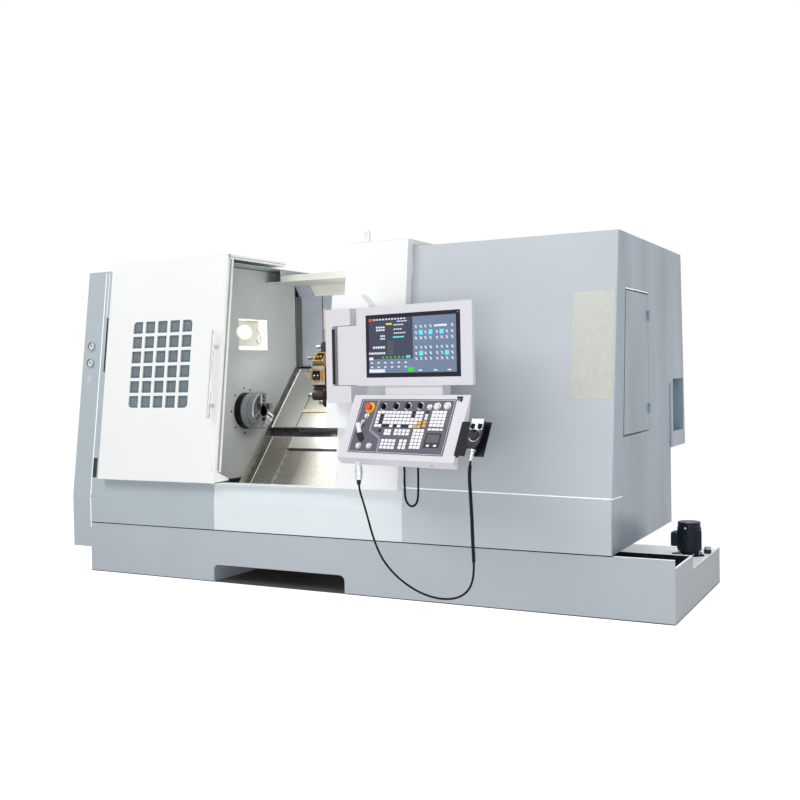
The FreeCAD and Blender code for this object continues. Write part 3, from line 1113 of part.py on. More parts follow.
def mpg_handset():
    """Handset with its pale face, resting on the plate."""
    z0 = PLATE_OFF + PLATE_THICK
    s0, s1, t0, t1 = HANDSET_S0, HANDSET_S1, HANDSET_T0, HANDSET_T1
    body = prism([(s0, -t0), (s1, -t0), (s1, -t1), (s0, -t1)], HANDSET_THICK, "xy", z0, 12)
    gland = rod(((s0 + s1) / 2, -t1 - GLAND_LENGTH, z0 + GLAND_HEIGHT), (0, 1, 0), 12, GLAND_LENGTH + 2)
    spots = [DIAL_AT] + list(MPG_KNOBS_AT)
    top = z0 + HANDSET_THICK
    holes = [rod((s, -t, top - 12), (0, 0, 1), 4 + RUN_FIT, 15) for s, t in spots]
    return on_face(cut(fuse([body, gland]), holes))


def mpg_control(s, t, body):
    """Control drawn at the origin, put at (s, t) on the handset's face."""
    top = PLATE_OFF + PLATE_THICK + HANDSET_THICK
    stem = rod((0, 0, -10), (0, 0, 1), 4, 14)
    shape = fuse([body, stem])
    shape.translate(V(s, -t, top))
    return on_face(shape)


def mpg_dial():
    """Handwheel with its small spinner knob."""
    wheel = turned([(0.6, 0), (0.6, DIAL_RADIUS), (10, DIAL_RADIUS), (12, DIAL_RADIUS - 2), (12, 0)],
                   (0, 0, 0), (0, 0, 1))
    spinner = rod((0, DIAL_RADIUS - 9, 12), (0, 0, 1), 5, 12)
    return mpg_control(*DIAL_AT, fuse([wheel, spinner]))


def mpg_knob(index):
    """Small selector knob of the handset."""
    skirt = rod((0, 0, 0.6), (0, 0, 1), MPG_KNOB_RADIUS, 5)
    grip = block(-3, 3, -MPG_KNOB_RADIUS + 1, MPG_KNOB_RADIUS - 1, 5, 14)
    return mpg_control(*MPG_KNOBS_AT[index], fuse([skirt, grip]))


# ---------------------------------------------------------------- cables
def cable(route, radius):
    """Round cable through the route: straight runs joined by tangent arcs."""
    points = [V(*p) for p in route]
    edges = []
    start = points[0]
    for before, corner, after in zip(points, points[1:], points[2:]):
        back, ahead = (before - corner), (after - corner)
        turn = math.pi - back.getAngle(ahead)
        reach = 0.45 * min(back.Length, ahead.Length)
        bend = reach / math.tan(turn / 2)
        into, out = back.normalize(), ahead.normalize()
        middle = (into + out).normalize()
        depth = bend / math.cos(turn / 2) - bend
        arc_in, arc_out = corner + into * reach, corner + out * reach
        edges.append(Part.makeLine(start, arc_in))
        edges.append(Part.Arc(arc_in, corner + middle * depth, arc_out).toShape())
        start = arc_out
    edges.append(Part.makeLine(start, points[-1]))
    wire = Part.Wire(edges)
    heading = (points[1] - points[0]).normalize()
    ring = Part.Wire([Part.makeCircle(radius, points[0], heading)])
    return Part.Solid(wire.makePipeShell([ring], True, False))


def on_handset(s, t, height):
    """Point of the handset's frame, in the pendant's frame."""
    tilt = math.radians(FACE_TILT)
    y = FACE_Y - t * math.sin(tilt) - height * math.cos(tilt)
    z = FACE_Z - t * math.cos(tilt) + height * math.sin(tilt)
    return (s, y, z)


def mpg_cord():
    """Handset cable: down from the connector, a low swag and up to the handset's gland."""
    middle = (HANDSET_S0 + HANDSET_S1) / 2
    height = PLATE_OFF + PLATE_THICK + GLAND_HEIGHT
    end = on_handset(middle, HANDSET_T1 + GLAND_LENGTH, height)
    last = on_handset(middle, HANDSET_T1 + GLAND_LENGTH + 42, height)
    y = CABLE_START[1]
    swag = [(137, y, 664), (162, y, 604), (194, y, 521), (218, y, 450), (247, y, 380), (297, y, 299),
            (383, y, 228), (479, y, 181), (570, y, 154), (674, y, 143), (794, -168, 164),
            (880, -186, 212), (922, -198, 282), (930, -203, 365), (927, -206, 462), (925, -207, 570),
            (920, -208, 680), (913, -207, 776)]
    route = [CABLE_START] + swag + [last, end]
    return on_pendant(cable(route, CABLE_RADIUS))


def loop_cord():
    """Short limp cable loop that hangs out of the control box and back into it."""
    z = BOX_BOTTOM
    route = [(292, 42, CASE_Z0), (292, 42, z - 10), (293, 40, z - 138), (299, 40, z - 204),
             (340, 40, z - 232), (381, 41, z - 204), (387, 42, z - 133), (386, 44, z - 10),
             (386, 44, CASE_Z0)]
    return on_pendant(cable(route, LOOP_RADIUS))


# ---------------------------------------------------------------- build
def all_parts():
    """Every piece of the machine by name."""
    parts = {
        "base_tray": base_tray(),
        "coolant_pump": coolant_pump(),
        "bed_casting": bed_casting(),
        "headstock_casting": headstock_casting(),
        "headstock_wall": headstock_wall(),
        "work_lamp": work_lamp(),
        "bed_covers": bed_covers(),
        "headstock_cover": headstock_cover(),
        "left_end_cover": left_end_cover(),
        "apron_panel": apron_panel(),
        "right_front_panel": right_front_panel(),
        "arm_bracket": arm_bracket(),
        "cabinet_cover": cabinet_cover(),
        "end_panel": end_panel(),
        "rear_cover": rear_cover(),
        "roof_cover": roof_cover(),
        "back_wall": back_wall(),
        "spindle_shaft": spindle_shaft(),
        "chuck_adapter": chuck_adapter(),
        "chuck_body": chuck_body(),
        "saddle": saddle(),
        "sliding_way_cover": sliding_way_cover(),
        "turret_housing": turret_housing(),
        "tool_disc": tool_disc(),
        "tool_holders": tool_holders(),
        "tailstock_body": tailstock_body(),
        "tailstock_quill": tailstock_quill(),
        "door_panel": door_panel(),
        "door_window": door_window(),
        "door_handle": door_handle(),
        "access_door": access_door(),
        "monitor_case": monitor_case(),
        "monitor_screen": monitor_screen(),
        "control_box": control_box(),
        "keypad": keypad(),
        "e_stop": e_stop(),
        "key_switch": key_switch(),
        "mpg_shelf": mpg_shelf(),
        "mpg_handset": mpg_handset(),
        "mpg_dial": mpg_dial(),
        "mpg_cord": mpg_cord(),
        "loop_cord": loop_cord(),
    }
    for i in range(3):
        parts["jaw_%d" % (i + 1)] = jaw(i)
    for i in range(len(KNOBS_AT)):
        parts["override_knob_%d" % (i + 1)] = override_knob(i)
    for i in range(len(BUTTONS_AT)):
        parts["push_button_%d" % (i + 1)] = push_button(i)
    for i in range(len(MPG_KNOBS_AT)):
        parts["mpg_knob_%d" % (i + 1)] = mpg_knob(i)
    for i, z in enumerate(GAUGES_Z):
        parts["gauge_needle_%d" % (i + 1)] = gauge_needle(z)
    return parts


os.makedirs("parts", exist_ok=True)
for name, shape in all_parts().items():
    shape.exportStep("parts/%s.step" % name)
    box = shape.BoundBox
    print("%-20s solids %d valid %s  x %.1f..%.1f  y %.1f..%.1f  z %.1f..%.1f"
          % (name, len(shape.Solids), shape.isValid(), box.XMin, box.XMax, box.YMin, box.YMax,
             box.ZMin, box.ZMax))
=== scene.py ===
"""Looks of the cnc turning lathe: materials, fine detail, cables, light and camera."""
import bpy
import numpy as np
from math import cos, hypot, pi, radians, sin
from mathutils import Matrix, Vector


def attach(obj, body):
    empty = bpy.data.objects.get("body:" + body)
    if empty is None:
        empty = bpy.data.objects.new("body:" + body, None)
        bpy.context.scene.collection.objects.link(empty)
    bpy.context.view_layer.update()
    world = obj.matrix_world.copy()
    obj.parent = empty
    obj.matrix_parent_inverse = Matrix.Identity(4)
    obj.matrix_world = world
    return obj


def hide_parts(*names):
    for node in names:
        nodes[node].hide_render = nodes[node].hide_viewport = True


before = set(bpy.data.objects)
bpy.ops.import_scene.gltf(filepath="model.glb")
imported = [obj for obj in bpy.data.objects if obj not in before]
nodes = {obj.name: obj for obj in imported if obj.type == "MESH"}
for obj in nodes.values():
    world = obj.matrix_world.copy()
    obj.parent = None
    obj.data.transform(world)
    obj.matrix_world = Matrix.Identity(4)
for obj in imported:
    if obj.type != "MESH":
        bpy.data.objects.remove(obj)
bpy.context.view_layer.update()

# ---------------------------------------------------------------- camera
# The camera stands where the photograph was taken: right of the machine, at chest height, turned towards the
# headstock and tipped a little down.
CAMERA_PLACE = (4.1185, -5.6409, 1.2666)
FOCAL_PIXELS, PHOTO_PIXELS = 1034.566, 800
camera_data = bpy.data.cameras.new("camera")
camera = bpy.data.objects.new("camera", camera_data)
bpy.context.scene.collection.objects.link(camera)
turn, dip, roll = radians(27.5856), radians(1.4325), radians(-1.04795)
ahead = Vector((-sin(turn) * cos(dip), cos(turn) * cos(dip), -sin(dip)))
side = Vector((cos(turn), sin(turn), 0))
over = side.cross(ahead)
right = side * cos(roll) + over * sin(roll)
upward = over * cos(roll) - side * sin(roll)
camera.matrix_world = Matrix.Translation(CAMERA_PLACE) @ Matrix((right, upward, -ahead)).transposed().to_4x4()
camera_data.sensor_width = 36
camera_data.lens = camera_data.sensor_width * FOCAL_PIXELS / PHOTO_PIXELS
camera_data.clip_end = 200
bpy.context.scene.camera = camera
bpy.context.scene.view_settings.view_transform = "Standard"


# ---------------------------------------------------------------- cables
# Cords in black rubber.  The handset's hangs from the plug under the control panel in a low swag and climbs
# to the handset, its last stretch in a ribbed sleeve.  A short loop hangs out of the housing behind the
# panel.
def axes(origin, a, b, c):
    """Matrix from a drawing frame in millimetres, with these three axes, to the scene in metres."""
    columns = [Vector(v) * 0.001 for v in (a, b, c)]
    matrix = Matrix.Identity(4)
    for i, column in enumerate(columns):
        matrix[0][i], matrix[1][i], matrix[2][i] = column
    matrix.translation = Vector(origin) * 0.001
    return matrix


def within(outer, origin, a, b, c):
    """Drawing frame that is given in the millimetres of another one."""
    return outer @ Matrix.Scale(1000, 4) @ axes(origin, a, b, c)


def shade(red, green, blue):
    """Linear colour of a screen colour given from 0 to 255."""
    shares = [value / 255 for value in (red, green, blue)]
    return (*(v / 12.92 if v <= 0.04045 else ((v + 0.055) / 1.055) ** 2.4 for v in shares), 1)


def add_node(tree, kind, values={}):
    """Shader node of a kind, with the values of some of its inputs."""
    made = tree.nodes.new("ShaderNode" + kind)
    for name, value in values.items():
        made.inputs[name].default_value = value
    return made


def chain(tree, output, *stops):
    """Leads an output to the input of a node, that node's first output to the next stop, and so on."""
    for node, name in stops:
        tree.links.new(output, node.inputs[name])
        output = next(iter(node.outputs), None)


looks = {}


def surface(name, colour, rough, spread, patch, metal=0, grain=500, bump=0.04, streak=(1, 1, 1), coat=0,
            uneven=0.08, glow=0, specular=0.5, flow=(1, 1, 1)):
    """Principled material on object coordinates: broad patches of colour, a fine grain in roughness and bump.

    The screen colour runs between 1 - spread and 1 + spread of itself, the roughness between rough - uneven
    and rough + uneven.  patch and grain are the scales of the two noises; streak stretches the fine one along
    X, Y and Z, as brushing does, and flow the broad one.
    """
    linear = shade(*colour)
    material = looks[name] = bpy.data.materials.new(name)
    material.use_nodes = True
    tree = material.node_tree
    shader = tree.nodes["Principled BSDF"]
    for key, value in (("Metallic", metal), ("Coat Weight", coat), ("Specular IOR Level", specular)):
        shader.inputs[key].default_value = value
    place = add_node(tree, "TexCoord").outputs["Object"]
    drift = add_node(tree, "Mapping", {"Scale": flow})
    broad = add_node(tree, "TexNoise", {"Scale": patch, "Detail": 4})
    ramp = add_node(tree, "ValToRGB")
    for stop, position, share in zip(ramp.color_ramp.elements, (0.3, 0.7), (1 - spread, 1 + spread)):
        stop.position = position
        stop.color = (*(min(1, c * share) for c in linear[:3]), 1)
    stretch = add_node(tree, "Mapping", {"Scale": streak})
    fine = add_node(tree, "TexNoise", {"Scale": grain, "Detail": 3})
    spreader = add_node(tree, "MapRange", {"From Min": 0.3, "From Max": 0.7,
                                           "To Min": max(0.02, rough - uneven),
                                           "To Max": min(1, rough + uneven)})
    relief = add_node(tree, "Bump", {"Strength": bump, "Distance": 0.001})
    chain(tree, place, (drift, "Vector"), (broad, "Vector"), (ramp, "Fac"), (shader, "Base Color"))
    chain(tree, place, (stretch, "Vector"), (fine, "Vector"), (spreader, "Value"), (shader, "Roughness"))
    chain(tree, fine.outputs[0], (relief, "Height"), (shader, "Normal"))
    if glow > 0:
        chain(tree, ramp.outputs[0], (shader, "Emission Color"))
        shader.inputs["Emission Strength"].default_value = glow
    return material


def add_object(name, data, body, material=None):
    """Scene object of this data that rides on a body."""
    thing = bpy.data.objects.new(name, data)
    bpy.context.scene.collection.objects.link(thing)
    if material:
        data.materials.append(looks[material])
    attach(thing, body)
    return thing


def cable_line(name, points, radius):
    """NURBS curve with the route's points, in metres, as its control points."""
    curve = bpy.data.curves.new(name, "CURVE")
    curve.dimensions = "3D"
    spline = curve.splines.new("NURBS")
    spline.points.add(len(points) - 1)
    for knot, point in zip(spline.points, points):
        knot.co = (*point, 1)
        knot.radius = radius
    spline.order_u = 3
    spline.use_endpoint_u = True
    spline.resolution_u = 10
    curve.bevel_depth = 1 if radius > 0 else 0
    curve.bevel_resolution = 3
    curve.use_fill_caps = radius > 0
    return curve


def line_points(points):
    """Points along the smooth line of a route, as Blender gives them."""
    probe = bpy.data.objects.new("probe", cable_line("probe", points, 0))
    bpy.context.scene.collection.objects.link(probe)
    bpy.context.view_layer.update()
    mesh = bpy.data.meshes.new_from_object(probe)
    found = np.zeros(len(mesh.vertices) * 3)
    mesh.vertices.foreach_get("co", found)
    bpy.data.objects.remove(probe)
    return found.reshape(-1, 3)


pendant_yaw = radians(-13.3)
PENDANT = axes((1284.2, -715.9, 0), (cos(pendant_yaw), sin(pendant_yaw), 0),
               (-sin(pendant_yaw), cos(pendant_yaw), 0), (0, 0, 1))
face_tilt = radians(24.7)
# Across the operating face, down it, and out of it.
FACE = within(PENDANT, (0, -20, 1156.7), (1, 0, 0), (0, -sin(face_tilt), -cos(face_tilt)),
              (0, -cos(face_tilt), sin(face_tilt)))

CABLE_RADIUS, LOOP_RADIUS, SLEEVE_RADIUS = 0.0055, 0.006, 0.0085
SLEEVE_FOOT_Z, SLEEVE_TOP_Z, SLEEVE_RIBS = 0.361, 0.831, 60
swag = [(137, -150, 712), (137, -150, 664), (162, -150, 604), (194, -150, 521), (218, -150, 450),
        (247, -150, 380), (297, -150, 299), (383, -150, 228), (479, -150, 181), (570, -150, 154),
        (674, -150, 143), (794, -168, 164), (880, -186, 212), (922, -198, 282), (930, -203, 365),
        (927, -206, 462), (925, -207, 570), (920, -208, 680), (913, -207, 776)]
swag_route = [PENDANT @ Vector(p) for p in swag] + [FACE @ Vector((914, t, 30)) for t in (360, 318)]
loop = [(292, 42, 930), (292, 42, 778), (293, 40, 650), (299, 40, 584), (340, 40, 556), (381, 41, 584),
        (387, 42, 655), (386, 44, 778), (386, 44, 930)]
loop_route = [PENDANT @ Vector(p) for p in loop]
surface("cord_rubber", (20, 21, 25), 0.55, 0.12, 30, grain=2500, bump=0.15, specular=0.12)


def measured(points):
    """Length of the line through the points."""
    steps = np.diff(np.asarray(points), axis=0)
    return float(np.sqrt((steps ** 2).sum(1)).sum())


def tube_faces(rows, sides, looped=False):
    """Faces round a stack of rings of points, its ends joined when looped and capped otherwise."""
    faces = []
    for i in range(rows if looped else rows - 1):
        low, high = i * sides, (i + 1) % rows * sides
        faces += [(low + j, low + (j + 1) % sides, high + (j + 1) % sides, high + j) for j in range(sides)]
    last = (rows - 1) * sides
    return faces if looped else faces + [tuple(range(sides))[::-1], tuple(range(last, last + sides))]


def sleeve_mesh(name, path, radius, ribs):
    """Ribbed sleeve round a path, of the radius times 1 + 0.08 * cos(2 * pi * ribs * share of its length)."""
    count, sides = ribs * 6, 16
    reach = np.concatenate([[0], np.cumsum(np.sqrt((np.diff(path, axis=0) ** 2).sum(1)))])
    share = np.linspace(0, 1, count)
    centres = np.stack([np.interp(share * reach[-1], reach, path[:, k]) for k in range(3)], 1)
    heading = np.gradient(centres, axis=0)
    heading /= np.linalg.norm(heading, axis=1)[:, None]
    first = np.cross(heading, [1, 0, 0])
    first /= np.linalg.norm(first, axis=1)[:, None]
    second = np.cross(heading, first)
    size = radius * (1 + 0.08 * np.cos(2 * pi * ribs * share))
    turns = np.linspace(0, 2 * pi, sides, endpoint=False)
    around = first[:, None] * np.cos(turns)[None, :, None] + second[:, None] * np.sin(turns)[None, :, None]
    verts = (centres[:, None] + around * size[:, None, None]).reshape(-1, 3)
    mesh = bpy.data.meshes.new(name)
    mesh.from_pydata(verts.tolist(), [], tube_faces(count, sides))
    mesh.shade_smooth()
    return mesh


swag_line = line_points(swag_route)
climb = swag_line[int(np.argmin(swag_line[:, 2])):]
sleeved = climb[(climb[:, 2] > SLEEVE_FOOT_Z) & (climb[:, 2] < SLEEVE_TOP_Z)]
cable_sleeve = add_object("cable_sleeve", sleeve_mesh("cable_sleeve", sleeved, SLEEVE_RADIUS, SLEEVE_RIBS),
                          "pendant", "cord_rubber")
handset_cable = add_object("handset_cable", cable_line("handset_cable", swag_route, CABLE_RADIUS),
                           "pendant", "cord_rubber")
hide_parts("mpg_cord")
cable_loop = add_object("cable_loop", cable_line("cable_loop", loop_route, LOOP_RADIUS),
                        "pendant", "cord_rubber")
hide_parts("loop_cord")
measured(line_points(loop_route))

# ---------------------------------------------------------------- floor and light
# A white studio: what the camera, mirrors and glass see of the background is white, while the light on the
# object is softer.  One large soft lamp stands in front to the left, weaker ones light the right side, the
# right end and the work area.
world = bpy.data.worlds.new("studio")
bpy.context.scene.world = world
world.use_nodes = True


def seen_factor(tree):
    """Output that is 1 for camera, mirror and glass rays and 0 for the rays that light the object."""
    rays = add_node(tree, "LightPath").outputs
    factor = rays["Is Camera Ray"]
    for name in ("Is Glossy Ray", "Is Transmission Ray"):
        larger = add_node(tree, "Math")
        larger.operation = "MAXIMUM"
        tree.links.new(rays[name], larger.inputs[1])
        chain(tree, factor, (larger, 0))
        factor = larger.outputs[0]
    return factor


sky = world.node_tree
sky.nodes.clear()
sky_mix = add_node(sky, "MixShader")
sky_light = add_node(sky, "Background", {"Strength": 0.42, "Color": (0.97, 0.985, 1, 1)})
sky_seen = add_node(sky, "Background", {"Strength": 1, "Color": (1, 1, 1, 1)})
chain(sky, sky_light.outputs[0], (sky_mix, 1))
chain(sky, sky_seen.outputs[0], (sky_mix, 2))
chain(sky, seen_factor(sky), (sky_mix, "Fac"), (add_node(sky, "OutputWorld"), "Surface"))

FLOOR_HALF = 60
floor_mesh = bpy.data.meshes.new("floor")
floor_corners = [(-FLOOR_HALF, -FLOOR_HALF, 0), (FLOOR_HALF, -FLOOR_HALF, 0), (FLOOR_HALF, FLOOR_HALF, 0),
                 (-FLOOR_HALF, FLOOR_HALF, 0)]
floor_mesh.from_pydata(floor_corners, [], [(0, 1, 2, 3)])
floor = bpy.data.objects.new("floor", floor_mesh)
bpy.context.scene.collection.objects.link(floor)
floor_paint = bpy.data.materials.new("floor")
floor_paint.use_nodes = True
ground = floor_paint.node_tree
ground.nodes.clear()
# The floor's own white fades where the object covers it: none below a share of 0.05 of open sky, 0.7 from
# 0.5 up.
openness = add_node(ground, "AmbientOcclusion", {"Distance": 0.6})
openness.samples = 12
open_share = add_node(ground, "MapRange", {"From Min": 0.05, "From Max": 0.5, "To Min": 0, "To Max": 0.7})
strength = add_node(ground, "Math")
strength.operation = "MULTIPLY"
both = add_node(ground, "AddShader")
chain(ground, seen_factor(ground), (strength, 0))
chain(ground, openness.outputs["AO"], (open_share, "Value"), (strength, 1),
      (add_node(ground, "Emission"), "Strength"), (both, 1), (add_node(ground, "OutputMaterial"), "Surface"))
chain(ground, add_node(ground, "BsdfDiffuse", {"Color": (0.8, 0.8, 0.8, 1)}).outputs[0], (both, 0))
floor_mesh.materials.append(floor_paint)


def lamp(name, place, target, width, height, power, colour=(1, 1, 1)):
    """Rectangular lamp that faces a target; power in watts."""
    data = bpy.data.lights.new(name, "AREA")
    data.shape = "RECTANGLE"
    data.size, data.size_y = width, height
    data.energy = power
    data.color = colour
    thing = bpy.data.objects.new(name, data)
    bpy.context.scene.collection.objects.link(thing)
    thing.location = place
    aim = Vector(target) - Vector(place)
    thing.rotation_euler = aim.to_track_quat("-Z", "Y").to_euler()


lamp("key", (-1.6, -5.4, 6.2), (0.8, 0, 1), 5, 3.6, 250)
lamp("low_fill", (3.9, -6.2, 1.1), (2, -0.5, 0.5), 3, 1.4, 112)
lamp("end_light", (4.4, -0.5, 3.2), (2.75, 0.2, 1.9), 1.2, 1.2, 11, (0.92, 0.96, 1))
lamp("inner_light", (1.2, 0, 1.72), (0.1, 0.15, 1.3), 0.5, 0.5, 5.5, (1, 0.99, 0.97))
lamp("work_light", (0.16, 0.12, 1.6), (0.7, 0.2, 1.1), 0.2, 0.18, 2, (1, 0.96, 0.88))
lamp("rear_light", (0.75, 0.3, 1.7), (0.3, 0.69, 1.55), 0.3, 0.15, 1, (1, 0.99, 0.97))
lamp("chute_light", (1.15, -0.3, 1.3), (0.85, -0.36, 0.72), 0.35, 0.3, 4.2, (1, 0.98, 0.94))

# ---------------------------------------------------------------- base, tank and pump
# Painted steel tray with painted highlights on its rims and painted shadow lines at its foot, its chip trough
# and fork pockets lined with painted shade; the tank's mottled lid behind it, lifted by a painted glow,
# carries the pump, with its fan grille, eye bolt and screws.
WORLD = axes((0, 0, 0), (1, 0, 0), (0, 1, 0), (0, 0, 1))


def placed(matrix, points, faces, material):
    """Shape from drawing points: vertices in metres, faces that look outward, and its material's number."""
    m = np.array(matrix)
    verts = np.asarray(points, float) @ m[:3, :3].T + m[:3, 3]
    if np.linalg.det(m[:3, :3]) < 0:
        faces = [tuple(reversed(f)) for f in faces]
    return verts, faces, material


def loft(matrix, lines, material=0):
    """Closed form through a stack of (outline, height) with equal counts of corners, the highest last."""
    points = [(a, b, height) for outline, height in lines for a, b in outline]
    faces = tube_faces(len(lines), len(lines[0][0]))
    return placed(matrix, points, faces[-2:] + faces[:-2], material)


def plate(matrix, corners, c0, c1, material=0):
    """Flat prism over corners (a, b), anticlockwise, from c0 to c1 on the third axis."""
    return loft(matrix, [(corners, c0), (corners, c1)], material)


def slab(matrix, a0, a1, b0, b1, c0, c1, material=0):
    """Block between two opposite corners of the drawing frame."""
    return plate(matrix, [(a0, b0), (a1, b0), (a1, b1), (a0, b1)], c0, c1, material)


def slabs(matrix, rows, base=0):
    """Blocks from rows (a0, a1, b0, b1, c0, c1[, material]), with c0 and c1 counted from a base."""
    return [slab(matrix, *row[:4], base + row[4], base + row[5], *row[6:]) for row in rows]


def lathe(matrix, a, b, profile, material=0, sides=32, looped=False):
    """Round form about the third axis at (a, b), from (radius, height) points, the upper end last."""
    turns = np.linspace(0, 2 * pi, sides, endpoint=False)
    points = [(a + r * cos(t), b + r * sin(t), height) for r, height in profile for t in turns]
    return placed(matrix, points, tube_faces(len(profile), sides, looped), material)


def ring(matrix, a, b, profile, material=0, sides=40):
    """Closed ring about the third axis at (a, b); the profile's last (radius, height) joins its first."""
    return lathe(matrix, a, b, profile, material, sides, True)


def hoop(matrix, a, b, r0, r1, c0, c1, material=0, sides=40):
    """Ring of rectangular section between two radii and two heights."""
    return ring(matrix, a, b, [(r0, c0), (r1, c0), (r1, c1), (r0, c1)], material, sides)


def screw(matrix, a, b, c, radius, material=0):
    """Low round screw head with a socket."""
    shares = ((1, 0), (1, 0.35), (0.85, 0.55), (0.5, 0.55), (0.45, 0.25))
    return lathe(matrix, a, b, [(p * radius, c + q * radius) for p, q in shares], material, 20)


def band(matrix, points, width, c0, c1, material=0):
    """Strip of even width along a line of (a, b) points, mitred at its corners."""
    line = np.asarray(points, float)
    steps = np.diff(line, axis=0)
    steps /= np.linalg.norm(steps, axis=1)[:, None]
    normals = np.stack([-steps[:, 1], steps[:, 0]], 1)
    joined = np.concatenate([normals[:1], normals[:-1] + normals[1:], normals[-1:]])
    joined[1:-1] /= (joined[1:-1] * normals[1:]).sum(1)[:, None]
    upper, lower = line + joined * width / 2, line - joined * width / 2
    n = len(line)
    points3 = [(*p, c) for c in (c0, c1) for p in np.concatenate([lower, upper])]
    faces = []
    for i in range(n - 1):
        low, high = (i, i + 1, n + i + 1, n + i), 2 * n
        faces.append(tuple(high + v for v in low))
        faces.append(low[::-1])
        faces.append((i, high + i, high + i + 1, i + 1)[::-1])
        faces.append((n + i + 1, high + n + i + 1, high + n + i, n + i)[::-1])
    faces.append((0, n, 3 * n, 2 * n))
    faces.append((n - 1, 3 * n - 1, 4 * n - 1, 2 * n - 1))
    return placed(matrix, points3, faces, material)


def piece(name, body, materials, shapes, bevel=0, smooth=True):
    """Object from shapes, riding on a body; bevel, in millimetres, rounds its edges."""
    mesh = bpy.data.meshes.new(name)
    verts = np.concatenate([s[0] for s in shapes])
    faces, numbers, start = [], [], 0
    for points, own_faces, number in shapes:
        faces += [tuple(start + v for v in f) for f in own_faces]
        numbers += [number] * len(own_faces)
        start += len(points)
    mesh.from_pydata(verts.tolist(), [], faces)
    for material in materials:
        mesh.materials.append(looks[material])
    mesh.polygons.foreach_set("material_index", numbers)
    if smooth:
        mesh.shade_smooth()
        mesh.set_sharp_from_angle(angle=radians(32))
    thing = add_object(name, mesh, body)
    if bevel > 0:
        edges = thing.modifiers.new("bevel", "BEVEL")
        edges.width = bevel * 0.001
        edges.segments = 2
        edges.limit_method = "ANGLE"
        edges.angle_limit = radians(40)
        edges.harden_normals = True
    return thing


def finish(material, *names):
    """Gives CAD nodes a material."""
    for name in names:
        slots = nodes[name].material_slots
        for entry in slots:
            entry.link = "OBJECT"
            entry.material = looks[material]
        if not len(slots):
            nodes[name].data.materials.append(looks[material])


def enamel(name, colour, rough=0.42, spread=0.03, patch=1.6, **more):
    """Sprayed sheet metal with a faint orange peel."""
    surface(name, colour, rough, spread, patch, grain=320, bump=0.03, **more)


def spun(matrix, a, b, degrees):
    """Drawing frame moved to (a, b) and turned there about its third axis."""
    return matrix @ Matrix.Translation((a, b, 0)) @ Matrix.Rotation(radians(degrees), 4, "Z")


def on_circle(a, b, radius, degrees):
    """Points on a circle about (a, b) at these angles."""
    return [(a + radius * cos(t), b + radius * sin(t)) for t in np.radians(degrees)]


BASE_FRONT, BASE_REAR, BASE_RIGHT = -521, 639, 2955
FRONT_TOP, TROUGH_TOP = 322, 278
enamel("base_paint", (178, 185, 192))
finish("base_paint", "base_tray")
# Painted highlight: pale white with a faint glow for the light caught on rims, creases and edges.
surface("painted_highlight", (244, 247, 250), 0.35, 0.02, 2.5, grain=300, glow=0.35)
# The tank's lid glows faintly: painted light that lifts it out of the machine's shadow.
surface("tank_sheet_painted_light", (246, 249, 250), 0.4, 0.1, 14, grain=200, bump=0.05, glow=0.28)
# Painted shade: near-black sheets in the chip trough and in the column's notch, where shade falls.
surface("painted_recess_shade", (28, 32, 36), 0.25, 0.2, 9, grain=120, bump=0.1)
piece("tank_top_sheet", "machine", ["tank_sheet_painted_light", "painted_highlight"], slabs(WORLD, [
    (2200, BASE_RIGHT - 6, -99, BASE_REAR - 2, 195, 196),
    (BASE_RIGHT - 4.8, BASE_RIGHT - 0.2, -101, BASE_REAR - 1, 206, 208.2, 1)]))
# Painted highlights on the trough's rims, painted shade on its walls and floor.
piece("trough_rims_and_shade", "machine", ["painted_highlight", "painted_recess_shade"], slabs(WORLD, [
    (2655, BASE_RIGHT - 0.3, BASE_FRONT + 0.2, BASE_FRONT + 9.8, FRONT_TOP + 0.1, FRONT_TOP + 1.8),
    (1445, BASE_RIGHT - 12, -112, -100.5, TROUGH_TOP, TROUGH_TOP + 1.5),
    (BASE_RIGHT - 11, BASE_RIGHT - 0.3, -507, -101, TROUGH_TOP, TROUGH_TOP + 2),
    (2100, BASE_RIGHT - 11, -113, -111.2, 60, TROUGH_TOP - 2, 1),
    (BASE_RIGHT - 12.2, BASE_RIGHT - 10.3, -509, -112, 60, TROUGH_TOP - 2, 1),
    (2400, BASE_RIGHT - 12, BASE_FRONT + 11, -113, 10.5, 40, 1)]))
POCKET_X0, POCKET_X1 = 120, 1060
# Painted shade in the fork pockets: sheets lining them, and a dark sheet on their floor for the machine's
# shadow.
surface("pocket_shade", (172, 180, 190), 0.6, 0.1, 3, specular=0.2)
surface("pocket_floor_painted_shadow", (104, 102, 100), 0.6, 0.1, 3, specular=0.2)
piece("fork_pocket_shade_linings", "machine", ["pocket_shade", "pocket_floor_painted_shadow"], slabs(WORLD, [
    (POCKET_X0 + 1, POCKET_X1 - 1, -512, 630, 106.6, 107.8),
    (POCKET_X0 + 0.2, POCKET_X0 + 1.4, -512, 630, 0.5, 72),
    (POCKET_X1 - 1.4, POCKET_X1 - 0.2, -512, 630, 0.5, 72),
    (POCKET_X0 + 1.4, POCKET_X1 - 1.4, -518, 630, 0.4, 2.2, 1)]))
surface("pump_paint", (18, 30, 44), 0.4, 0.15, 20, grain=420, bump=0.08, specular=0.2)
surface("pump_lid", (190, 188, 200), 0.4, 0.06, 30)
surface("zinc", (196, 198, 200), 0.3, 0.06, 60, metal=0.9)
finish("pump_paint", "coolant_pump")
PUMP_X, PUMP_Y, PUMP_RADIUS, PUMP_TOP, FIN_COUNT, FOOT_SCREW_RING = 2830, 400, 66.5, 385, 28, 72
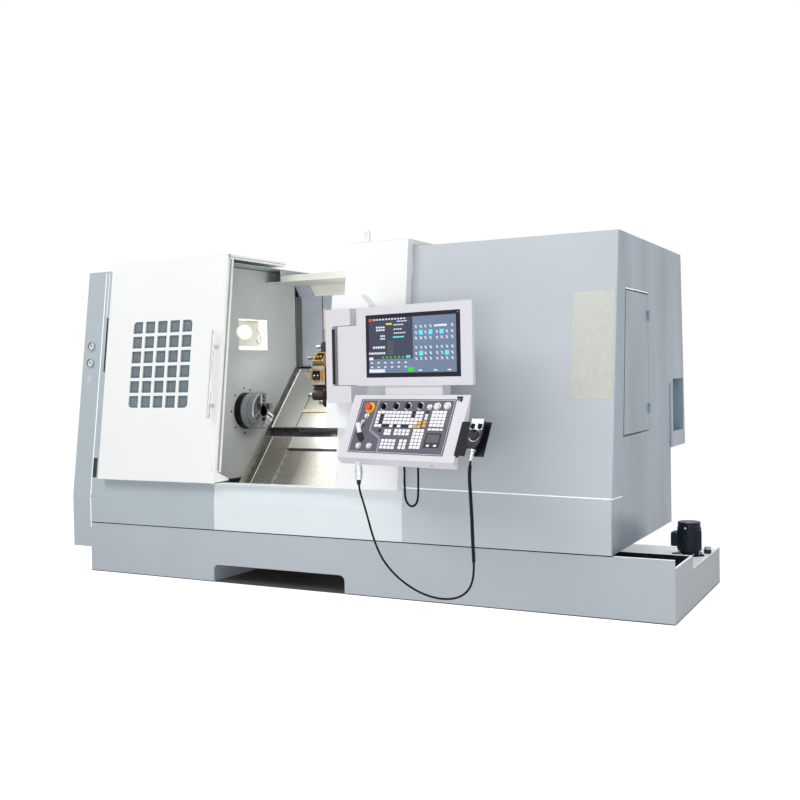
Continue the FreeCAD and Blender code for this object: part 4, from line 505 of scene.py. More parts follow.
fins = [slab(spun(WORLD, PUMP_X, PUMP_Y, 360 * i / FIN_COUNT), PUMP_RADIUS - 1, PUMP_RADIUS + 2.4,
             -1.3, 1.3, 232, 336) for i in range(FIN_COUNT)]
grille = [ring(WORLD, PUMP_X, PUMP_Y, [(r, PUMP_TOP - 1), (r, PUMP_TOP + 1.6), (r - 2.5, PUMP_TOP + 1.6),
                                       (r - 2.5, PUMP_TOP - 1)], 1, 48) for r in (58, 46, 34, 22, 12)]
eye_bolt = axes((PUMP_X - 8, PUMP_Y - 69, 356), (1, 0, 0), (0, 0, 1), (0, -1, 0))
piece("pump_trim", "machine", ["pump_paint", "pump_lid", "zinc"], fins + grille + [
    ring(WORLD, PUMP_X, PUMP_Y, [(PUMP_RADIUS - 1, 343), (PUMP_RADIUS + 1.5, 345), (PUMP_RADIUS + 1.5, 352),
                                 (PUMP_RADIUS - 1, 354)], 0, 48),
    slab(WORLD, PUMP_X - 98, PUMP_X - 94, PUMP_Y - 36, PUMP_Y + 36, 250, 318),
    slab(WORLD, PUMP_X - 20, PUMP_X + 20, PUMP_Y - 69, PUMP_Y - 66, 290, 312)]
    + [screw(WORLD, x, y, 207, 6, 2) for x, y in on_circle(PUMP_X, PUMP_Y, FOOT_SCREW_RING, (-60, -120, -30))]
    + [lathe(eye_bolt, 0, 0, [(6, 0), (6, 3), (4, 4), (2, 4.5)], 2, 20)])
surface("filler_black", (20, 30, 36), 0.45, 0.1, 30)
FILLER_X, FILLER_Y = 2920, 466
piece("filler_ring", "machine", ["filler_black", "pump_lid"], [
    ring(WORLD, FILLER_X, FILLER_Y, [(19.6, 196), (20.8, 196.5), (20.8, 219), (19.6, 220)], 0, 40),
    lathe(WORLD, FILLER_X, FILLER_Y, [(18.6, 222), (18.6, 232), (16.5, 234.2)], 1, 40)])


# ---------------------------------------------------------------- headstock, spindle and chuck
# Turned steel with rings about the spindle, the black adapter with its screws, and three jaws, each with a
# nut block and its bolts.
def facing_right(x=0, y=0, z=0):
    """Drawing frame from a point: towards the rear, upward, and out to the right."""
    return axes((x, y, z), (0, 1, 0), (0, 0, 1), (1, 0, 0))


surface("turned_steel", (172, 177, 182), 0.16, 0.03, 6, metal=1, grain=90, bump=0.012, streak=(14, 0.4, 0.4),
        uneven=0.05)
surface("jaw_steel", (176, 179, 184), 0.28, 0.05, 30, metal=1, grain=300)
surface("black_steel", (20, 23, 30), 0.4, 0.15, 18, grain=260, bump=0.08, specular=0.15)
surface("casting", (138, 142, 146), 0.55, 0.07, 6, grain=240, bump=0.22)
# Painted shade: near-black for the chuck's holes, pockets and grooves, where shade falls.
surface("painted_hollow_shade", (14, 17, 22), 0.5, 0.2, 40)
finish("turned_steel", "chuck_body", "spindle_shaft", "tailstock_quill")
finish("jaw_steel", "jaw_1", "jaw_2", "jaw_3")
finish("black_steel", "chuck_adapter")
finish("casting", "bed_casting", "headstock_casting", "saddle", "tailstock_body", "turret_housing")
AXIS_Z, CHUCK_RADIUS, CHUCK_FACE, NUT_FACE, ADAPTER_X, SUNK_RADIUS = 1042, 120, 153, 155, 30, 119.2
SPINDLE = facing_right(z=AXIS_Z)
piece("chuck_rings", "spindle", ["turned_steel", "painted_hollow_shade"], [
    hoop(SPINDLE, 0, 0, CHUCK_RADIUS - 1, CHUCK_RADIUS + 0.3, x, x + 1.4, 1, 96) for x in (54, 61, 104)]
    + [ring(SPINDLE, 0, 0, [(36.6, 152.6), (39.4, 152.6), (39.4, 153.6), (36.6, 154.2)], 0, 64)])
ring_screws = []
for t in np.radians(range(15, 360, 30)):
    sunk = axes((ADAPTER_X, SUNK_RADIUS * cos(t), AXIS_Z + SUNK_RADIUS * sin(t)), (1, 0, 0),
                (0, -sin(t), cos(t)), (0, cos(t), sin(t)))
    ring_screws.append(screw(sunk, 0, 0, 0, 6.5))
piece("adapter_screws", "spindle", ["black_steel"], ring_screws)
# Each jaw's nut with its two bolt holes and oil hole in painted shade, and the pockets of the face between the
# jaws as dark plates of painted shade.
pockets = []
for i in range(3):
    jaw = spun(SPINDLE, 0, 0, 120 * i)
    between = spun(SPINDLE, 0, 0, 120 * i + 60)
    piece("jaw_bolts_%d" % (i + 1), "jaw_body_%d" % (i + 1), ["jaw_steel", "painted_hollow_shade"], [
        slab(jaw, -7.6, 7.6, 47, 115, 143, NUT_FACE + 0.6)]
        + [lathe(jaw, a, b, [(r, NUT_FACE), (r, NUT_FACE + 1.3)], 1, sides)
           for a, b, r, sides in ((0, 66, 8.4, 24), (0, 92, 8.4, 24), (17, 80, 5.2, 20))])
    pockets.append(plate(between, [(-16, 41), (16, 41), (24, 56), (12, 71), (-12, 71), (-24, 56)],
                         CHUCK_FACE + 0.05, CHUCK_FACE + 0.5))
    pockets += [lathe(between, y, z, [(r, CHUCK_FACE - 6), (r, CHUCK_FACE - 0.7)], 0, 20)
                for y, z, r in ((0, 84, 7.7), (30.9, 95.1, 3.8), (-30.9, 95.1, 3.8))]
piece("chuck_pockets", "spindle", ["painted_hollow_shade"], pockets)

# ---------------------------------------------------------------- way covers, splash wall and work lamp
# Brushed stainless sheets on the slope with their seams, flange and chute, the low chute sheet paler to the
# right with a painted reflection and the edges with painted highlights; the painted splash wall with its lamp:
# a lit glass and tube in a pale frame glowing with painted light; the back wall and the roof's fold behind.
slant = radians(47)
# Along the spindle, up the bed's slope, and square to it.
SLOPE = axes((0, 0, AXIS_Z), (1, 0, 0), (0, cos(slant), sin(slant)), (0, -sin(slant), cos(slant)))
COVER_TOP, CHUTE_TOP, GUTTER_FLOOR, MOVING_TOP = -281, -286, -326, -275
brushing = dict(grain=60, bump=0.006, streak=(0.5, 9, 9), uneven=0.04)
surface("brushed_sheet", (204, 204, 200), 0.32, 0.1, 2.2, metal=0.85, **brushing)
finish("brushed_sheet", "bed_covers", "sliding_way_cover")
# A darker brown strip along the fold by the wall.
surface("fold_strip_brown", (122, 118, 108), 0.3, 0.22, 9, metal=0.7, grain=80, streak=(1, 6, 6))
# Towards the right the low sheet is painted paler, a painted reflection of the bright front: dark * (1 -
# share)
# + pale * share, along X in metres.
low = surface("brushed_low_painted_reflection", (150, 147, 138), 0.3, 0.16, 2.6, metal=0.5, **brushing).node_tree
low_ramp = next(n for n in low.nodes if n.bl_idname == "ShaderNodeValToRGB")
reflection_mix = add_node(low, "Mix")
reflection_mix.data_type = "RGBA"
reflection_mix.inputs["B"].default_value = shade(252, 249, 238)
chain(low, low_ramp.outputs["Color"], (reflection_mix, "A"))
chain(low, add_node(low, "TexCoord").outputs["Object"], (add_node(low, "SeparateXYZ"), "Vector"),
      (add_node(low, "MapRange", {"From Min": 0.37, "From Max": 0.56}), "Value"), (reflection_mix, "Factor"))
chain(low, reflection_mix.outputs["Result"], (low.nodes["Principled BSDF"], "Base Color"))
surface("gutter_dark", (66, 62, 66), 0.3, 0.35, 5, grain=80, bump=0.1)
surface("groove_black", (9, 10, 13), 0.4, 0.3, 10)
surface("cream_strip", (232, 214, 178), 0.4, 0.15, 18, metal=0.3)
surface("grey_flange", (112, 114, 114), 0.4, 0.12, 20, metal=0.3)
slope_holes = [lathe(SLOPE, 35, u, [(5, CHUTE_TOP + 0.9), (5, CHUTE_TOP + 1.3)], 1, 20)
               for u in range(-330, -20, 62)]
piece("wall_fold_strip", "machine", ["fold_strip_brown", "groove_black"], slope_holes + slabs(SLOPE, [
    (4, 70, -398, 8, 0.2, 1), (70, 72.5, -398, 8, 0.2, 1.4, 1)], CHUTE_TOP))
piece("chute_sheets", "machine", ["brushed_low_painted_reflection", "painted_highlight"], slabs(SLOPE, [
    (76, 235, -398, 8, 0.2, 0.9), (253, 1434, -398, -106, 0.2, 0.9),
    (73, 75.6, -398, 8, 0.2, 2.4, 1)], CHUTE_TOP), bevel=0.2)
piece("gutter_lining", "machine", ["gutter_dark", "groove_black"], slabs(SLOPE, [
    (4, 1436, 15, 88, GUTTER_FLOOR + 0.2, GUTTER_FLOOR + 1.2),
    (4, 1436, 13.2, 14.4, GUTTER_FLOOR + 1, CHUTE_TOP - 2),
    (4, 240, 88.6, 90.6, GUTTER_FLOOR + 1, COVER_TOP - 4)]))
piece("chute_seams", "machine", ["groove_black", "brushed_sheet"], slabs(SLOPE, [
    (236, 240, -398, 10, 0.2, 1.6), (240, 252, -398, -106, 0.2, 8, 1), (240, 252, -88, 10, 0.2, 8, 1),
    (241, 1434, -110, -86, 1, 1.8)]
    + [(252, 252.6, u, u + 26, 1.5, 6) for u in range(-380, -130, 60)], CHUTE_TOP))
piece("wall_flange_trim", "machine", ["grey_flange", "painted_highlight", "groove_black"], slabs(SLOPE, [
    (3.4, 30, 92, 634, 0.2, 0.6), (3.4, 6, 92, 634, 0.6, 24), (30, 37, 92, 634, 0.2, 0.8, 1)]
    + [(14, 19, u, u + 24, 0.6, 0.9, 2) for u in range(118, 620, 84)], COVER_TOP))
piece("wiper_strips", "carriage", ["cream_strip", "groove_black", "brushed_sheet"], slabs(SLOPE, [
    (229, 466, 221, 248, 0.1, 2.4), (229, 466, 215.5, 220.5, 0.1, 1, 1), (229, 466, 430, 436, 0.1, 2, 2),
    (229, 233, 90, 634, 0.1, 2.2, 1)], MOVING_TOP))

surface("interior_paint", (172, 177, 175), 0.4, 0.06, 3.5, grain=160, bump=0.05, uneven=0.12)
surface("beam_paint", (222, 222, 214), 0.42, 0.06, 4, grain=260)
surface("blue_wall", (172, 179, 190), 0.38, 0.1, 3, grain=180)
finish("interior_paint", "headstock_wall")
finish("beam_paint", "roof_cover")
finish("blue_wall", "back_wall")
WALL = facing_right()
LAMP_Y0, LAMP_Y1, LAMP_Z0, LAMP_Z1, HOUSE_Y0 = 42, 266, 1456, 1644, -50
# The lamp's frame and the linings of its recess glow faintly: painted light from the lamp.
surface("lamp_rim_painted_glow", (246, 246, 240), 0.4, 0.02, 30, glow=0.4)
surface("white_rim", (240, 240, 236), 0.35, 0.03, 30)
surface("lamp_body", (216, 214, 204), 0.35, 0.05, 18)
finish("lamp_body", "work_lamp")
# The glass glows from its middle: strength 1.5 * min(1, 1.8 * (1 - distance / radius)) and none at its rim.
LAMP_GLASS, GLOW_SCALE = (-2, 14, 1566), (12, 10.4, 16.6)
glow = surface("lamp_glow", (180, 184, 178), 0.5, 0.03, 12).node_tree
glow_ball = add_node(glow, "TexGradient")
glow_ball.gradient_type = "SPHERICAL"
glow_fit = add_node(glow, "Mapping", {"Scale": GLOW_SCALE,
                                      "Location": [-c * 0.001 * k for c, k in zip(LAMP_GLASS, GLOW_SCALE)]})
glow_shader = glow.nodes["Principled BSDF"]
glow_shader.inputs["Emission Color"].default_value = (1, 0.95, 0.8, 1)
chain(glow, add_node(glow, "TexCoord").outputs["Object"], (glow_fit, "Vector"), (glow_ball, "Vector"))
glow_fade = add_node(glow, "MapRange", {"From Max": 0.55, "To Max": 1.5})
chain(glow, glow_ball.outputs["Fac"], (glow_fade, "Value"), (glow_shader, "Emission Strength"))
piece("lamp_frame", "machine", ["lamp_rim_painted_glow", "lamp_body"], slabs(WALL, [
    (HOUSE_Y0, LAMP_Y1 + 9, LAMP_Z1, LAMP_Z1 + 9, 0.3, 3.5),
    (HOUSE_Y0, LAMP_Y1 + 9, LAMP_Z0 - 9, LAMP_Z0, 0.3, 3.5),
    (LAMP_Y1, LAMP_Y1 + 9, LAMP_Z0, LAMP_Z1, 0.3, 3.5),
    (HOUSE_Y0, LAMP_Y0 - 0.5, LAMP_Z0, LAMP_Z0 + 17, 0.3, 4.5),
    (HOUSE_Y0, LAMP_Y0 - 0.5, LAMP_Z0 + 17, LAMP_Z1, 0.3, 3.6, 1)]), bevel=0.8)
WALL_SCREW_RING = 150
head_profile = [(7.1, 2.9), (7.3, 3.6), (5.4, 4.6), (3, 4.6), (2.8, 3.4)]
piece("wall_screw_heads", "machine", ["black_steel"], [
    lathe(WALL, y, z, head_profile, 0, 24)
    for y, z in on_circle(0, AXIS_Z, WALL_SCREW_RING, (20, 65, 93, 136, 180, 225, 267, 320))])
piece("lamp_linings", "machine", ["lamp_rim_painted_glow", "grey_flange"], [
    slab(WALL, LAMP_Y0 + 1, LAMP_Y1 - 1, LAMP_Z0 + 0.5, LAMP_Z0 + 15, -52, -0.5),
    slab(WALL, LAMP_Y1 - 17, LAMP_Y1 - 0.5, LAMP_Z0 + 15, LAMP_Z1 - 1, -52, -0.5),
    band(WALL, [(196, 1590), (222, 1572), (240, 1540), (240, 1508), (222, 1492), (200, 1500), (188, 1516)],
         3.2, -30, -27, 1)], bevel=0.6)
# The lit glass stands out of the recess: half an egg about the axis out of the wall.
glass_frame = axes(LAMP_GLASS, (0, 1.62, 0), (0, 0, 1), (0.2, 0, 0))
piece("lamp_glass", "machine", ["lamp_glow"], [
    lathe(glass_frame, 0, 0, [(58 * cos(t), 58 * sin(t)) for t in np.linspace(0, radians(84), 9)], 0, 40)])
piece("lamp_tube", "machine", ["lamp_glow"], [
    lathe(WORLD, -34, LAMP_Y0 + 28, [(10, LAMP_Z0 + 60), (17, LAMP_Z0 + 66), (17, LAMP_Z1 - 46),
                                     (10, LAMP_Z1 - 40)])])
surface("seam_black", (16, 18, 22), 0.5, 0.2, 20)
piece("back_wall_trim", "machine", ["seam_black", "cream_strip", "grey_flange"], slabs(WORLD, [
    (196, 201, 690, 692.7, 1340, 1832), (201.5, 226, 691.2, 692.7, 1600, 1745, 1),
    (8, 20, 690.5, 692.7, 1340, 1834, 2)]))
piece("wall_return", "machine", ["grey_flange", "seam_black"], slabs(WORLD, [
    (3.2, 5.4, 637, 692, 1330, 1836), (5.5, 6.3, 655, 661, 1330, 1836, 1)]))
# The roof's fold carried on to the splash wall.
FOLD = facing_right(4)
piece("roof_fold_end", "machine", ["blue_wall", "beam_paint"], [
    plate(FOLD, [(692.5, 1838.5), (695.5, 1838.5), (641, 1913), (638, 1910.5)], 0, 124.5),
    slab(FOLD, 268, 637.5, 1910.5, 1913, 0, 124.5, 1)])

# ---------------------------------------------------------------- turret tools
# Turning tools in gold clamping frames and boring tools in dark sleeves, by pairs round the steel disc, each
# bolted to one of its eight flats.
finish("turned_steel", "tool_disc")
surface("tool_gold", (176, 134, 74), 0.34, 0.2, 22, metal=0.85, grain=260, bump=0.1)
surface("tool_steel", (182, 184, 186), 0.26, 0.08, 30, metal=1)
surface("dark_holder", (58, 48, 46), 0.4, 0.25, 24, metal=0.6, bump=0.1)
surface("carbide", (214, 176, 84), 0.3, 0.1, 60, metal=0.8)
TURRET_U, DISC_X0, DISC_X1, FLATS, STATIONS = 316, 490, 588, 146, 8
disc_centre = SLOPE @ Vector((0, TURRET_U, 0))
holders = []
for i in range(STATIONS):
    turn = Matrix.Rotation(2 * pi * i / STATIONS, 4, "X")
    spin = Matrix.Translation(disc_centre) @ turn @ Matrix.Translation(-disc_centre)
    # From the middle of the station's flat: along the spindle, round the disc, and outward.
    flat = spin @ SLOPE @ Matrix.Translation(((DISC_X0 + DISC_X1) / 2, TURRET_U, FLATS))
    if i % 4 < 2:
        holders += slabs(flat, [
            (-42, -30, -42, 42, 0.2, 26), (30, 42, -42, 42, 0.2, 26), (-30, 30, -42, -30, 0.2, 26),
            (-30, 30, 30, 42, 0.2, 26), (-30, 30, -30, 30, 0.2, 12, 4), (-24, 24, -26, -12, 12, 24, 2),
            (-87, -42, -10, 10, 6, 25.5, 1), (-42, 28, -10, 10, 6, 25.5, 4)])
        holders += [screw(flat, a, 0, 25.5, 6.5, 1) for a in (-14, 12)]
        holders.append(plate(flat, [(-99, 14), (-85, -10), (-73, -10), (-73, 10)], 8, 24, 1))
        holders.append(plate(flat, [(-98.5, 13), (-91, 2), (-83, 8)], 24, 27.5, 3))
        holders += [screw(flat, a, b, 26, 5, 1) for a in (-36, 36) for b in (-36, 36)]
    else:
        axle = within(flat, (0, 0, 0), (0, 1, 0), (0, 0, 1), (1, 0, 0))
        holders += slabs(flat, [(-42, 42, -38, 38, 0.2, 20, 2), (-36, 36, -33, 33, 18, 38, 2)])
        holders += [lathe(axle, 0, 38, [(28, -46), (33, -43), (33, 41), (28, 44)], 2, 40),
                    lathe(axle, 0, 38, [(30.5, -47.5), (30.5, -45)], 1, 40),
                    lathe(axle, 0, 38, [(11, -89), (14, -83), (14, -43)], 1, 28),
                    plate(flat, [(-90, -3), (-77, -13), (-75, -3)], 46, 50, 3)]
        holders += [screw(flat, a, b, 20, 4.5, 1) for a in (-39, 39) for b in (-32, 32)]
turret_tools = piece("turret_tools", "turret",
                     ["tool_gold", "tool_steel", "dark_holder", "carbide", "black_steel"], holders, bevel=0.7)
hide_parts("tool_holders")
disc_frame = facing_right(0, disc_centre.y * 1000, disc_centre.z * 1000)
piece("disc_rings", "turret", ["jaw_steel"], [
    ring(disc_frame, 0, 0, [(r + 3, DISC_X0), (r + 3, DISC_X0 - 1.5), (r, DISC_X0 - 1.5), (r, DISC_X0)],
         0, 64) for r in (72, 128)])

# ---------------------------------------------------------------- enclosure
# The casing is of grey enamelled steel sheets, folded at their edges and screwed together, with a paler
# apron under the doorway.  Two pressure gauges in bright rings sit in the left end's cover, and a bare plate
# of metal is screwed on at the right.
enamel("grey_paint", (190, 197, 203))
enamel("pale_paint", (224, 232, 235), 0.4, 0.02)
# The right end, its access door and the rear carry the grey paint darkened and bluer: painted shade.
enamel("end_paint_painted_shade", (154, 169, 183), 0.3, 0.26, 1.5, flow=(1.8, 1.8, 0.45))
# The left column and the headstock cover carry the grey paint darkened: painted shade.
enamel("column_paint_painted_shade", (176, 186, 193))
finish("grey_paint", "cabinet_cover")
finish("column_paint_painted_shade", "headstock_cover", "left_end_cover")
finish("end_paint_painted_shade", "end_panel", "access_door", "rear_cover")
finish("pale_paint", "apron_panel")
LEAN, CREASE_Z, FRONT_Y = 0.1378, 491.6, -521


def front(proud=0):
    """Drawing frame of the leaning front: X, height, and out of a plane this far in front of the panels."""
    size = hypot(1, LEAN)
    return axes((0, FRONT_Y - CREASE_Z * LEAN - proud, 0), (1, 0, 0), (0, LEAN, 1),
                (0, -1 / size, LEAN / size))


COLUMN = front()
surface("gauge_face", (226, 230, 232), 0.35, 0.05, 60)
surface("needle_black", (20, 20, 24), 0.4, 0.1, 60)
finish("needle_black", "gauge_needle_1", "gauge_needle_2")
GAUGE_X = -974
gauge_parts = []
for z in (1492, 1380):
    gauge_parts += [
        ring(COLUMN, GAUGE_X, z, [(29.5, 0.2), (31, 0.4), (31, 11), (29, 14.6), (25.6, 14.6), (25.6, 8.2)],
             0, 48),
        ring(COLUMN, GAUGE_X, z, [(22.5, 8.02), (25.6, 8.05), (25.6, 8.3), (22.5, 8.3)], 2, 48),
        hoop(COLUMN, GAUGE_X, z, 6, 22.4, 8.02, 8.15, 1)]
    gauge_parts += [slab(spun(COLUMN, GAUGE_X, z, 24 * k - 30), 15.5, 21.5, -0.8, 0.8, 8.15, 8.3, 2)
                    for k in range(11)]
gauge_parts.append(lathe(COLUMN, GAUGE_X, 1268, [(25, 0.2), (25, 1.6), (23.5, 2.2)], 3, 40))
piece("gauge_rings", "machine", ["zinc", "gauge_face", "needle_black", "grey_paint"],
      gauge_parts)
# A black line in the column's slit, and painted shade in its notch.
piece("column_lines", "machine", ["seam_black", "painted_recess_shade"], slabs(COLUMN, [
    (-857, -843, 1317, 1680, 0.15, 0.35), (-886, -850, 618, 746, 0.15, 0.35, 1)]))
surface("plate_metal", (190, 194, 186), 0.35, 0.05, 30, metal=0.2)
piece("plain_plate", "machine", ["plate_metal", "zinc"], [
    slab(COLUMN, 2402, 2630, 1117, 1682, 0.2, 1.4)]
    + [screw(COLUMN, x, z, 1.4, 4, 1) for x in (2412, 2620) for z in (1129, 1670)], bevel=0.4)
# Dark joint lines, and painted shadow lines along the base's foot and in the access door's gap.
surface("joint_and_shadow_black", (30, 36, 44), 0.5, 0.2, 8, specular=0.2)
VERTICAL = axes((0, FRONT_Y, 0), (1, 0, 0), (0, 0, 1), (0, -1, 0))
END = facing_right(2640)
piece("base_joint_and_shadow_lines", "machine", ["joint_and_shadow_black", "painted_highlight"], slabs(VERTICAL, [
    (-889, 2642, FRONT_TOP - 3, FRONT_TOP + 2.8, -0.5, 0.45),
    (-889, 118, 0.4, 5, -0.5, 0.4), (1062, 2952, 0.4, 5, -0.5, 0.4)])
    + [slab(facing_right(BASE_RIGHT), -519, 637, 0.4, 5, -0.5, 0.4)])
# Painted highlights: pale lines along the creases of the cabinet and the end panel and up the left column's
# edges.
piece("cover_edge_highlights", "machine", ["painted_highlight", "joint_and_shadow_black"], [
    band(COLUMN, [(1445, 629), (2639.5, 611)], 5, -0.3, 0.8),
    band(END, [(-504, 611), (-320, 605.4)], 5, 0.1, 0.8),
    band(COLUMN, [(-889, 500), (-889, 1985)], 6, -0.3, 0.7),
    slab(VERTICAL, -892, -886, 290, 490, -0.3, 0.5),
    band(COLUMN, [(-862, 1690), (-862, 1985)], 4, -0.3, 0.5)])
# The access door's deep gap with its pull lip, dark with painted shadow, and the light flange at the rear
# cabinet's edge, a painted highlight.
piece("access_door_gap", "machine", ["joint_and_shadow_black", "painted_highlight"], [
    plate(END, [(-281, 924), (-271.5, 924), (-199, 1685), (-208, 1685)], -4, 0.4),
    plate(END, [(-30, 1694), (262, 1694), (262, 1701), (-30, 1701)], -4, 0.4),
    plate(END, [(-208, 1701), (264, 1702), (264, 1707), (-208, 1706)], 0.1, 0.8, 1),
    plate(END, [(-281, 914), (90, 916), (90, 922.5), (-281, 922.5)], -4, 0.4)])

# Plain sides: the rear cabinet's four doors with latches and louvres, joints and screws of the other sheets,
# and the flange of the bar feed's opening.
REAR_FOOT_Y, REAR_STEP_Z, REAR_LEAN, REAR_WALL_Y = 1200, 782, 78 / 1210, 792
REAR = axes((0, REAR_FOOT_Y + REAR_STEP_Z * REAR_LEAN, 0), (-1, 0, 0), (0, -REAR_LEAN, 1), (0, 1, REAR_LEAN))
rear_skins, rear_trim = [], []
for i in range(4):
    a0 = -2608 + 862 * i
    a1 = a0 + 852
    rear_skins.append(slab(REAR, a0, a1, 812, 1962, 0.2, 2.2))
    rear_trim += [slab(REAR, a, a + 5, 812, 1962, 0.1, 0.5) for a in (a0 - 7.5, a1 + 2.5)]
    for z in (900, 1387, 1874):
        rear_trim.append(lathe(REAR, a1 - 34, z, [(15, 2.2), (15, 5), (12.5, 6.5)], 1, 28))
        rear_trim += slabs(REAR, [(a1 - 44, a1 - 24, z - 1.6, z + 1.6, 6.5, 7),
                                  (a0 + 3, a0 + 15, z - 34, z + 34, 2.2, 6.5, 1)])
    if i in (0, 2):
        for z in range(1660, 1894, 26):
            rear_skins.append(slab(REAR, a0 + 246, a0 + 606, z, z + 13, 2.2, 7))
            rear_trim.append(slab(REAR, a0 + 248, a0 + 604, z - 6, z - 0.5, 2.2, 2.6))
piece("rear_doors", "machine", ["end_paint_painted_shade"], rear_skins, bevel=0.8)
piece("rear_latches", "machine", ["joint_and_shadow_black", "zinc"], rear_trim)
REAR_WALL = axes((0, REAR_WALL_Y, 0), (-1, 0, 0), (0, 0, 1), (0, 1, 0))
wall_screws = [screw(REAR_WALL, x, z, 0.1, 5, 1) for x in range(-2560, 880, 240) for z in (318, 748)]
piece("rear_wall_trim", "machine", ["joint_and_shadow_black", "zinc", "end_paint_painted_shade"],
      wall_screws + slabs(REAR_WALL, [(x, x + 4, 292, 776, 0.1, 0.6) for x in (-1660, -440, 420)]
                          + [(-1300, -800, 380, 690, 0.1, 2.4, 2)]))
END_LEFT = axes((-1045, 0, 0), (0, -1, 0), (0, 0, 1), (-1, 0, 0))
FLANGE_SCREW_RING = 66
piece("left_end_trim", "machine", ["zinc", "joint_and_shadow_black", "column_paint_painted_shade"], [
    ring(END_LEFT, 0, AXIS_Z, [(52, 0.1), (78, 0.1), (78, 4), (75, 5.5), (52, 5.5)], 2, 56)]
    + [screw(END_LEFT, y, z, 5.5, 4.5) for y, z in on_circle(0, AXIS_Z, FLANGE_SCREW_RING, range(45, 360, 90))]
    + [screw(END_LEFT, a, z, 0.1, 4.5) for a in (-560, 300) for z in (360, 780, 1200, 1620, 1940)])
ROOF = axes((0, 0, 2000), (1, 0, 0), (0, 1, 0), (0, 0, 1))
piece("roof_screws", "machine", ["zinc", "joint_and_shadow_black"], [
    screw(ROOF, x, y, 0.1, 5) for x in (1480, 1860, 2240, 2600) for y in (-230, 220, 680, 1080)]
    + [slab(ROOF, 2036, 2040, -290, 1110, 0.1, 0.5, 1)])
piece("roof_sides", "machine", ["column_paint_painted_shade", "grey_paint"], slabs(ROOF, [
    (126, 128.4, 268, 1112, -60, -7.4), (1441, 1443.4, 268, 1112, -60, -4.4, 1)]))

# ---------------------------------------------------------------- sliding door and right front panel
# The door is a folded steel sheet in warm white enamel that slides along the casing's front, with safety
# glass behind a lattice of bars, and a pull bar on two posts.  The fixed panel right of the doorway is of
# such a sheet too.
enamel("white_paint", (242, 244, 243), 0.38, 0.015, 1.5)
finish("white_paint", "door_panel", "right_front_panel")
surface("handle_metal", (196, 198, 202), 0.28, 0.05, 20, metal=0.95)
finish("handle_metal", "door_handle")
# The window's glass is an opaque sheet, dark with the painted shade of the interior behind it and patched with
# painted reflections.
surface("glass_painted_reflection", (104, 120, 128), 0.16, 0.16, 3.5, grain=30, bump=0.01, coat=0.3, uneven=0.05)
finish("glass_painted_reflection", "door_window")
surface("glass_dark", (66, 78, 88), 0.2, 0.2, 6, grain=40)
WINDOW_X0, WINDOW_X1, WINDOW_Z0, WINDOW_Z1 = -557, -74, 1080, 1637
PANE_BAR_X, PANE_BAR_Z, DOOR_PROUD, GLASS_DEPTH = 22.5, 19.5, 66.9, 9
pane_x = (WINDOW_X1 - WINDOW_X0 + PANE_BAR_X) / 5
pane_z = (WINDOW_Z1 - WINDOW_Z0 + PANE_BAR_Z) / 6
PANE = front(DOOR_PROUD - GLASS_DEPTH)
lattice = []
for x in [WINDOW_X0 + i * pane_x for i in range(5)]:
    lattice += slabs(PANE, [(a, a + 3, WINDOW_Z0 - 8, WINDOW_Z1 + 8, 0.1, 0.5)
                            for a in (x + 9, x + pane_x - PANE_BAR_X - 14)])
for z in [WINDOW_Z0 + j * pane_z for j in range(6)]:
    lattice += slabs(PANE, [(WINDOW_X0 - 8, WINDOW_X1 + 8, b, b + 3, 0.1, 0.6)
                            for b in (z + 8, z + pane_z - PANE_BAR_Z - 13)])
piece("window_inner_lattice", "front_door", ["glass_dark"], lattice)
# Folded edges of the door: two white flanges with a shadow line between them, and the black line over the
# foot.
surface("edge_shade", (150, 160, 158), 0.5, 0.05, 8)
DOOR_SIDE = facing_right(173)


def side_band(near, far, z0, z1, c0, c1, material):
    """Upright strip on the door's side between two distances in front of the panels."""
    corners = [(FRONT_Y + (z - CREASE_Z) * LEAN - proud, z)
               for proud, z in ((near, z0), (far, z0), (far, z1), (near, z1))]
    return plate(DOOR_SIDE, corners, c0, c1, material)


piece("door_foot_lines", "front_door", ["groove_black"], [
    band(DOOR_SIDE, [(-529, 685), (-418, 638), (-421, 624)], 5, 0.5, 0.9),
    band(DOOR_SIDE, [(-428, 621), (-566, 618.5)], 4.5, 0.5, 0.9)])
piece("door_side_flanges", "front_door", ["white_rim", "edge_shade"], [
    side_band(66.5, 44, 620, 2036, 0.05, 0.45, 0),
    side_band(43.9, 24, 690, 2010, 0.05, 0.15, 1),
    side_band(23.9, 4.8, 690, 2010, 0.05, 0.45, 0),
    plate(DOOR_SIDE, [(-366, 2025), (264, 2028), (264, 2037), (-374, 2037)], 0.05, 0.45, 0),
    plate(DOOR_SIDE, [(-366, 2020), (264, 2023), (264, 2028), (-366, 2025)], 0.05, 0.15, 1),
    plate(DOOR_SIDE, [(-366, 2011.5), (264, 2011.5), (264, 2023), (-366, 2020)], 0.05, 0.45, 0)])
piece("door_small_screws", "front_door", ["zinc"], [
    screw(front(DOOR_PROUD), 152, z, 0.1, 3.4) for z in (1470, 1090, 700)])

